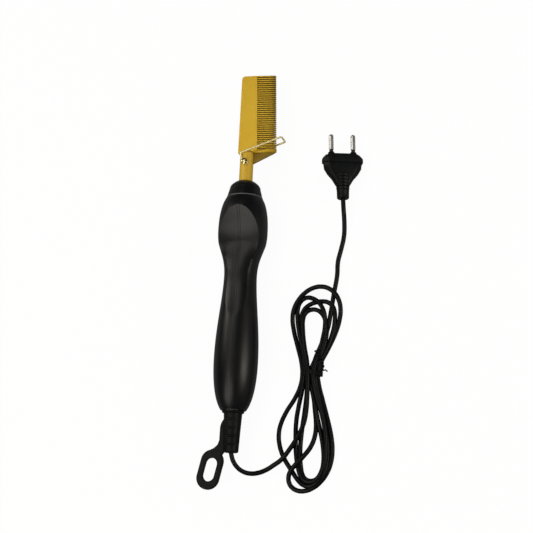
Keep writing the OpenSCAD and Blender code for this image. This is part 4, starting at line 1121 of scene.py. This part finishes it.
class HOTCOMB_OT_nose(bpy.types.Operator):
    """Makes the domed nose cap and the thin grey ring behind it"""

    bl_idname = "hotcomb.nose"
    bl_label = "Nose cap and ring"

    def execute(self, context):
        base = (FRONT_R - 0.6, CAP_START + 0.3)
        shoulder = (FRONT_R - 2.7, CAP_END - 5.6)
        mouth = (NECK_R + 0.85, CAP_END)
        outline = [(CAP_BORE, CAP_INNER), (CAP_SKIRT, CAP_INNER), (CAP_SKIRT, CAP_START)]
        outline += [(FRONT_R - 0.9, CAP_START), base]
        outline += cubic(base, (FRONT_R - 1.7, CAP_START + 5), (FRONT_R - 2.4, CAP_END - 7.5), shoulder, 12)
        outline += cubic(shoulder, (FRONT_R - 3.3, CAP_END - 3.7), (NECK_R + 3.0, CAP_END - 0.6), mouth, 16)
        hole = NECK_R + 0.2
        outline += [(hole + 0.15, CAP_END - 0.1), (hole, CAP_END - 0.4), (hole, 43.6), (CAP_BORE, 43.6)]
        black = satin_plastic("cap_black", *pair_of("black", "black_light"), (0.26, 0.38), grain=0.35)
        settle(lathe(outline, 128, closed=True), "domed_cap", black, "tool", ["nose_cap"])
        low = HANDLE_FRONT + SLIP
        high = CAP_START - SLIP
        edge = FRONT_R - 0.15
        rim = [(RING_BORE, low), (edge - 0.2, low), (edge, low + 0.2)]
        rim += [(edge, high - 0.2), (edge - 0.2, high), (RING_BORE, high)]
        grey = satin_plastic("ring_grey", *pair_of("ring", "ring_light"), (0.3, 0.4), grain=0.3)
        settle(lathe(rim, 128, closed=True), "grey_ring", grey, "tool", ["trim_ring"])
        return {"FINISHED"}


SEAM_REAR = -150  # y where the seam lines end
SEAM_HALF = 0.13  # half the width of a seam line
SEAM_GAP = 0.03  # half the gap between the shells
REAR_BORE = 8.97  # radius of the handle's mouth for the strain relief
SCOOP_REACH = 28  # half the width of the form that cuts the scoops


class HOTCOMB_OT_handle(bpy.types.Operator):
    """Makes the two handle shells, with their thumb scoops, their seam lines and the screw holes"""

    bl_idname = "hotcomb.handle"
    bl_label = "Handle shells"

    def side_outline(self):
        """The handle's outline as (radius, y), from its front edge to its rear end."""
        bulb = mm_of("bulb")
        front = (FRONT_R, HANDLE_FRONT)
        crown = (bulb, 3)
        corner = (mm_of("corner"), -10)
        waist = (mm_of("waist"), -36)
        swell = (mm_of("swell"), -109)
        rear = (mm_of("rear"), HANDLE_BACK)
        line = [front]
        line += cubic(front, (bulb - 1.2, 25), (bulb, 14), crown, 24)
        line += cubic(crown, (bulb, -2), (corner[0] + 1, -7), corner, 12)
        line += cubic(corner, (corner[0] - 2.6, -18), (waist[0] + 0.2, -24), waist, 22)
        line += cubic(waist, (waist[0], -58), (swell[0], -80), swell, 44)
        line += cubic(swell, (swell[0], -126), (rear[0] + 5.9, -143), rear, 36)
        return line

    def scooped(self):
        """What the scoops leave of the handle's thickness, with a flat below that it rests on."""
        arch = (25.0, 20.6)
        dish = (-7, 9.8)
        narrow = (-36, 12.3)
        fade = (-84, 18.7)
        line = [(60, 50), (31, 24.6), arch]
        line += cubic(arch, (15, 17.6), (5, 10.8), dish, 26)
        line += cubic(dish, (-13, 9.6), (-24, 12.3), narrow, 20)
        line += cubic(narrow, (-52, 12.3), (-66, 15.3), fade, 30)
        line += [(-100, 23.5), (-190, 50)]
        rings = []
        for x in range(-SCOOP_REACH, SCOOP_REACH + 1, 2):
            top = [(x, y, z + self.curve_across(y) * x * x / 2) for y, z in line]
            rings.append(top + [(x, y, max(-z, SLIP - AXIS_Z)) for x, y, z in reversed(top)])
        return lofted(rings)

    def curve_across(self, y):
        """How a scoop curves across the handle: hollow under the thumb, crowned from the waist on."""
        share = min(1, max(0, (-5 - y) / 27))
        return 0.010 - 0.052 * share * share * (3 - 2 * share)

    def whole(self):
        """Both shells as one solid, with the screw holes in its left side."""
        outline = [(0, HANDLE_FRONT), *self.side_outline(), (REAR_BORE, HANDLE_BACK), (0, HANDLE_BACK)]
        form = cut(lathe(outline, 176), self.scooped(), "INTERSECT")
        drill = [(0, -SCOOP_REACH), (HOLE_R, -SCOOP_REACH), (HOLE_R, -HOLE_FLOOR), (0, -HOLE_FLOOR)]
        for y, z in SCREW_PLACES:
            place = Matrix.Translation((0, y, z)) @ Matrix.Rotation(-math.pi / 2, 4, "Z")
            form = cut(form, moved(lathe(drill, 32), place))
        return form

    def sliced(self, bm, x, side, clear=False):
        """Cuts the form along a plane beside the seam, and may drop what lies past it."""
        geom = bm.verts[:] + bm.edges[:] + bm.faces[:]
        plane = {"plane_co": (side * x, 0, 0), "plane_no": (side, 0, 0)}
        bmesh.ops.bisect_plane(bm, geom=geom, dist=0.0001, clear_inner=clear, **plane)

    def shell(self, whole, side):
        """One half, open at its ends and at the seam, with a fine line scored beside the seam."""
        bm = whole.copy()
        seam = mm_of("seam")
        self.sliced(bm, SEAM_GAP, side, clear=True)
        for x in (seam - SEAM_HALF, seam, seam + SEAM_HALF):
            self.sliced(bm, x, side)
        for vert in bm.verts:
            if abs(abs(vert.co.x) - seam) < 0.01 and SEAM_REAR < vert.co.y < HANDLE_FRONT - 0.5:
                vert.co.z -= math.copysign(mm_of("seam_depth"), vert.co.z)
        ends = []
        for face in bm.faces:
            front = all(v.co.y > HANDLE_FRONT - 0.01 for v in face.verts)
            back = all(v.co.y < HANDLE_BACK + 0.01 for v in face.verts)
            if front or back and all(math.hypot(v.co.x, v.co.z) < REAR_BORE + 0.02 for v in face.verts):
                ends.append(face)
        bmesh.ops.delete(bm, geom=ends, context="FACES")
        bmesh.ops.triangulate(bm, faces=[f for f in bm.faces if len(f.verts) > 4])
        return bm

    def execute(self, context):
        black = satin_plastic("handle_black", *pair_of("black", "black_light"))
        whole = self.whole()
        for side, name in ((-1, "left"), (1, "right")):
            half = settle(self.shell(whole, side), "shell_" + name, black, "tool", ["handle_" + name])
            wall = half.modifiers.new("wall", "SOLIDIFY")
            wall.thickness = mm_of("shell") * MM
            wall.offset = -1
        whole.free()
        return {"FINISHED"}


# ---------------------------------------------------------------- strain relief

RELIEF_REAR = -186.7
GROOVES = (-159.5, -166.4, -173.3, -180.2)  # y of the slots
LOOP_AT = Matrix.Translation((-17.1, -201.0, 0)) @ Matrix.Rotation(math.radians(-12.5), 4, "Z")
LOOP_ARM = [  # outline of the arm that carries the loop, as (x, y)
    (-4.1, -157.6), (-7.1, -158.6), (-9.2, -162), (-10.1, -165.6), (-10.2, -176.6),
    (-11.6, -180.6), (-14.6, -183.2), (-20.1, -186), (-19.1, -193), (-8.7, -193),
    (-7.5, -188.3), (-4.9, -185.1), (-4.1, -182.7),
]
LOOP_THICK = 4.6
CORD_HOLE = 2.1  # its radius
SLOT_FLOOR = 1.5  # depth of a slot below the cone's skin
SLOT_ENDS = (-5.7, 5.9)  # x of the slots' two ends


class HOTCOMB_OT_strain_relief(bpy.types.Operator):
    """Moulds the strain relief with its slots and its hanging loop in one piece"""

    bl_idname = "hotcomb.strain_relief"
    bl_label = "Strain relief"

    def stadium(self, radius, half, height, edge):
        """A slab with round ends, whose centres are this far from its middle."""
        turn = [i * math.pi / 20 for i in range(21)]
        end = [(radius * math.cos(a), half + radius * math.sin(a)) for a in turn]
        return plate(end + [(-x, -y) for x, y in end], -height / 2, height / 2, edge, 3)

    def slotted(self, whole):
        """The same shape with its slots cut above and below, as deep as the cone lets them be."""
        slot = mm_of("slot_width") / 2
        left, right = SLOT_ENDS
        for y in GROOVES:
            for side in (-1, 1):
                low, high = sorted((side * (7.8 + (y + 153) * 0.05 - SLOT_FLOOR), side * 12))
                whole = cut(whole, block((left, y - slot, low), (right, y + slot, high)))
        return whole

    def execute(self, context):
        collar = RELIEF_FRONT - 1.6
        front = RELIEF_FRONT - 0.2
        outline = [(CORD_HOLE, front), (7.8, front), (7.75, collar - 0.8), (6.9, -170)]
        outline += [(6.15, RELIEF_REAR + 0.7), (5.4, RELIEF_REAR), (CORD_HOLE, RELIEF_REAR)]
        rim = [(2.4, RELIEF_FRONT), (9.2, RELIEF_FRONT), (9.3, RELIEF_FRONT - 0.1), (9.3, collar + 0.3)]
        rim += [(9.0, collar), (8.0, collar - 0.3), (7.4, collar - 0.9), (2.4, collar - 0.9)]
        arm = plate(LOOP_ARM, -LOOP_THICK / 2, LOOP_THICK / 2, 0.5)
        whole = cut(lathe(outline, 72, closed=True), arm, "UNION")
        whole = cut(whole, moved(self.stadium(9.7, 7.1, LOOP_THICK, 1.1), LOOP_AT), "UNION")
        whole = cut(whole, moved(self.stadium(5.1, 4.8, 12, 0), LOOP_AT))
        voxels = ("REMESH", {"mode": "VOXEL", "voxel_size": 0.36})
        moulding = with_modifiers(self.slotted(whole), voxels, ("SMOOTH", {"factor": 0.5, "iterations": 4}))
        black = rubber("relief_rubber", *pair_of("rubber", "rubber_light"))
        moulding = joined(moulding, lathe(rim, closed=True))
        settle(moulding, "cord_relief", black, "cord_set", ["strain_relief"], crease=60)
        return {"FINISHED"}


# ---------------------------------------------------------------- pieces kept from the frame


class HOTCOMB_OT_inner_parts(bpy.types.Operator):
    """Gives the heater, the swivel, the screws and the wires inside the handle their finishes"""

    bl_idname = "hotcomb.inner_parts"
    bl_label = "Inner parts"

    def execute(self, context):
        ceramic = fired_ceramic("white_ceramic", (0.78, 0.75, 0.68), (0.55, 0.52, 0.46))
        mica = mica_sheet("brown_mica", (0.42, 0.31, 0.18), (0.22, 0.15, 0.08))
        steel = plain_metal("zinc_steel", (0.60, 0.60, 0.62), (0.36, 0.36, 0.36), 0.3)
        nickel = plain_metal("nickel_wire", (0.66, 0.64, 0.60), (0.42, 0.40, 0.38), 0.26)
        brass = plain_metal("spring_brass", (0.78, 0.58, 0.26), (0.46, 0.32, 0.12), 0.24)
        copper = plain_metal("core_copper", (0.80, 0.42, 0.24), (0.50, 0.22, 0.12), 0.28)
        cream = pale_plastic("cream_plastic", (0.62, 0.60, 0.54), (0.50, 0.48, 0.42))
        silicone = pale_plastic("white_silicone", (0.72, 0.72, 0.68), (0.58, 0.58, 0.54), 0.5)
        dark = pale_plastic("holder_black", (0.02, 0.02, 0.022), (0.035, 0.035, 0.036))
        jacket = cord_jacket("inner_jacket", *pair_of("jacket", "jacket_light"))
        dressed = {
            "heater_core": ceramic, "heater_sleeve": mica, "heater_bead": ceramic, "heater_leads": nickel,
            "thermal_fuse": nickel, "wire_joints": cream, "lead_wires": silicone, "neck_flange": steel,
            "heat_shield": mica, "insulator_bush": ceramic, "handle_screws": steel, "swivel_bearing": cream,
            "contact_holder": dark, "contact_springs": brass, "swivel_spindle": cream, "swivel_clip": steel,
            "slip_rings": brass, "cord_cores": copper, "cord_tail": jacket, "plug_insert": cream,
        }
        for node, finish in dressed.items():
            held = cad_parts[node]
            if not held.material_slots:
                raise RuntimeError("no material slot on " + node)
            for slot in held.material_slots:
                slot.material = finish
        return {"FINISHED"}


class HOTCOMB_PT_pieces(bpy.types.Panel):
    """Lists the stage, the pieces, the sizes and the colours"""

    bl_idname = "HOTCOMB_PT_pieces"
    bl_label = "Hot Comb"
    bl_space_type = "VIEW_3D"
    bl_region_type = "UI"
    bl_category = "Hot Comb"

    def draw(self, context):
        for made in STEPS:
            self.layout.operator(made.bl_idname)
        for group in (context.scene.hot_comb_sizes, context.scene.hot_comb_colours):
            box = self.layout.box()
            for name in group.__annotations__:
                box.prop(group, name)


STEPS = (
    HOTCOMB_OT_stage,
    HOTCOMB_OT_plug,
    HOTCOMB_OT_tie,
    HOTCOMB_OT_mains_lead,
    HOTCOMB_OT_comb_head,
    HOTCOMB_OT_neck,
    HOTCOMB_OT_stand,
    HOTCOMB_OT_nose,
    HOTCOMB_OT_handle,
    HOTCOMB_OT_strain_relief,
    HOTCOMB_OT_inner_parts,
)
CLASSES = (HotCombSizes, HotCombColours, *STEPS, HOTCOMB_PT_pieces)


def register():
    for kind in CLASSES:
        bpy.utils.register_class(kind)
    bpy.types.Scene.hot_comb_sizes = PointerProperty(type=HotCombSizes)
    bpy.types.Scene.hot_comb_colours = PointerProperty(type=HotCombColours)


def unregister():
    del bpy.types.Scene.hot_comb_colours
    del bpy.types.Scene.hot_comb_sizes
    for kind in reversed(CLASSES):
        bpy.utils.unregister_class(kind)


def main():
    """Makes the whole object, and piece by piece."""
    register()
    bpy.ops.hotcomb.stage()
    bpy.ops.hotcomb.plug()
    bpy.ops.hotcomb.tie()
    bpy.ops.hotcomb.mains_lead()
    bpy.ops.hotcomb.comb_head()
    bpy.ops.hotcomb.neck()
    bpy.ops.hotcomb.stand()
    bpy.ops.hotcomb.nose()
    bpy.ops.hotcomb.handle()
    bpy.ops.hotcomb.strain_relief()
    bpy.ops.hotcomb.inner_parts()


if __name__ == "__main__":
    main()
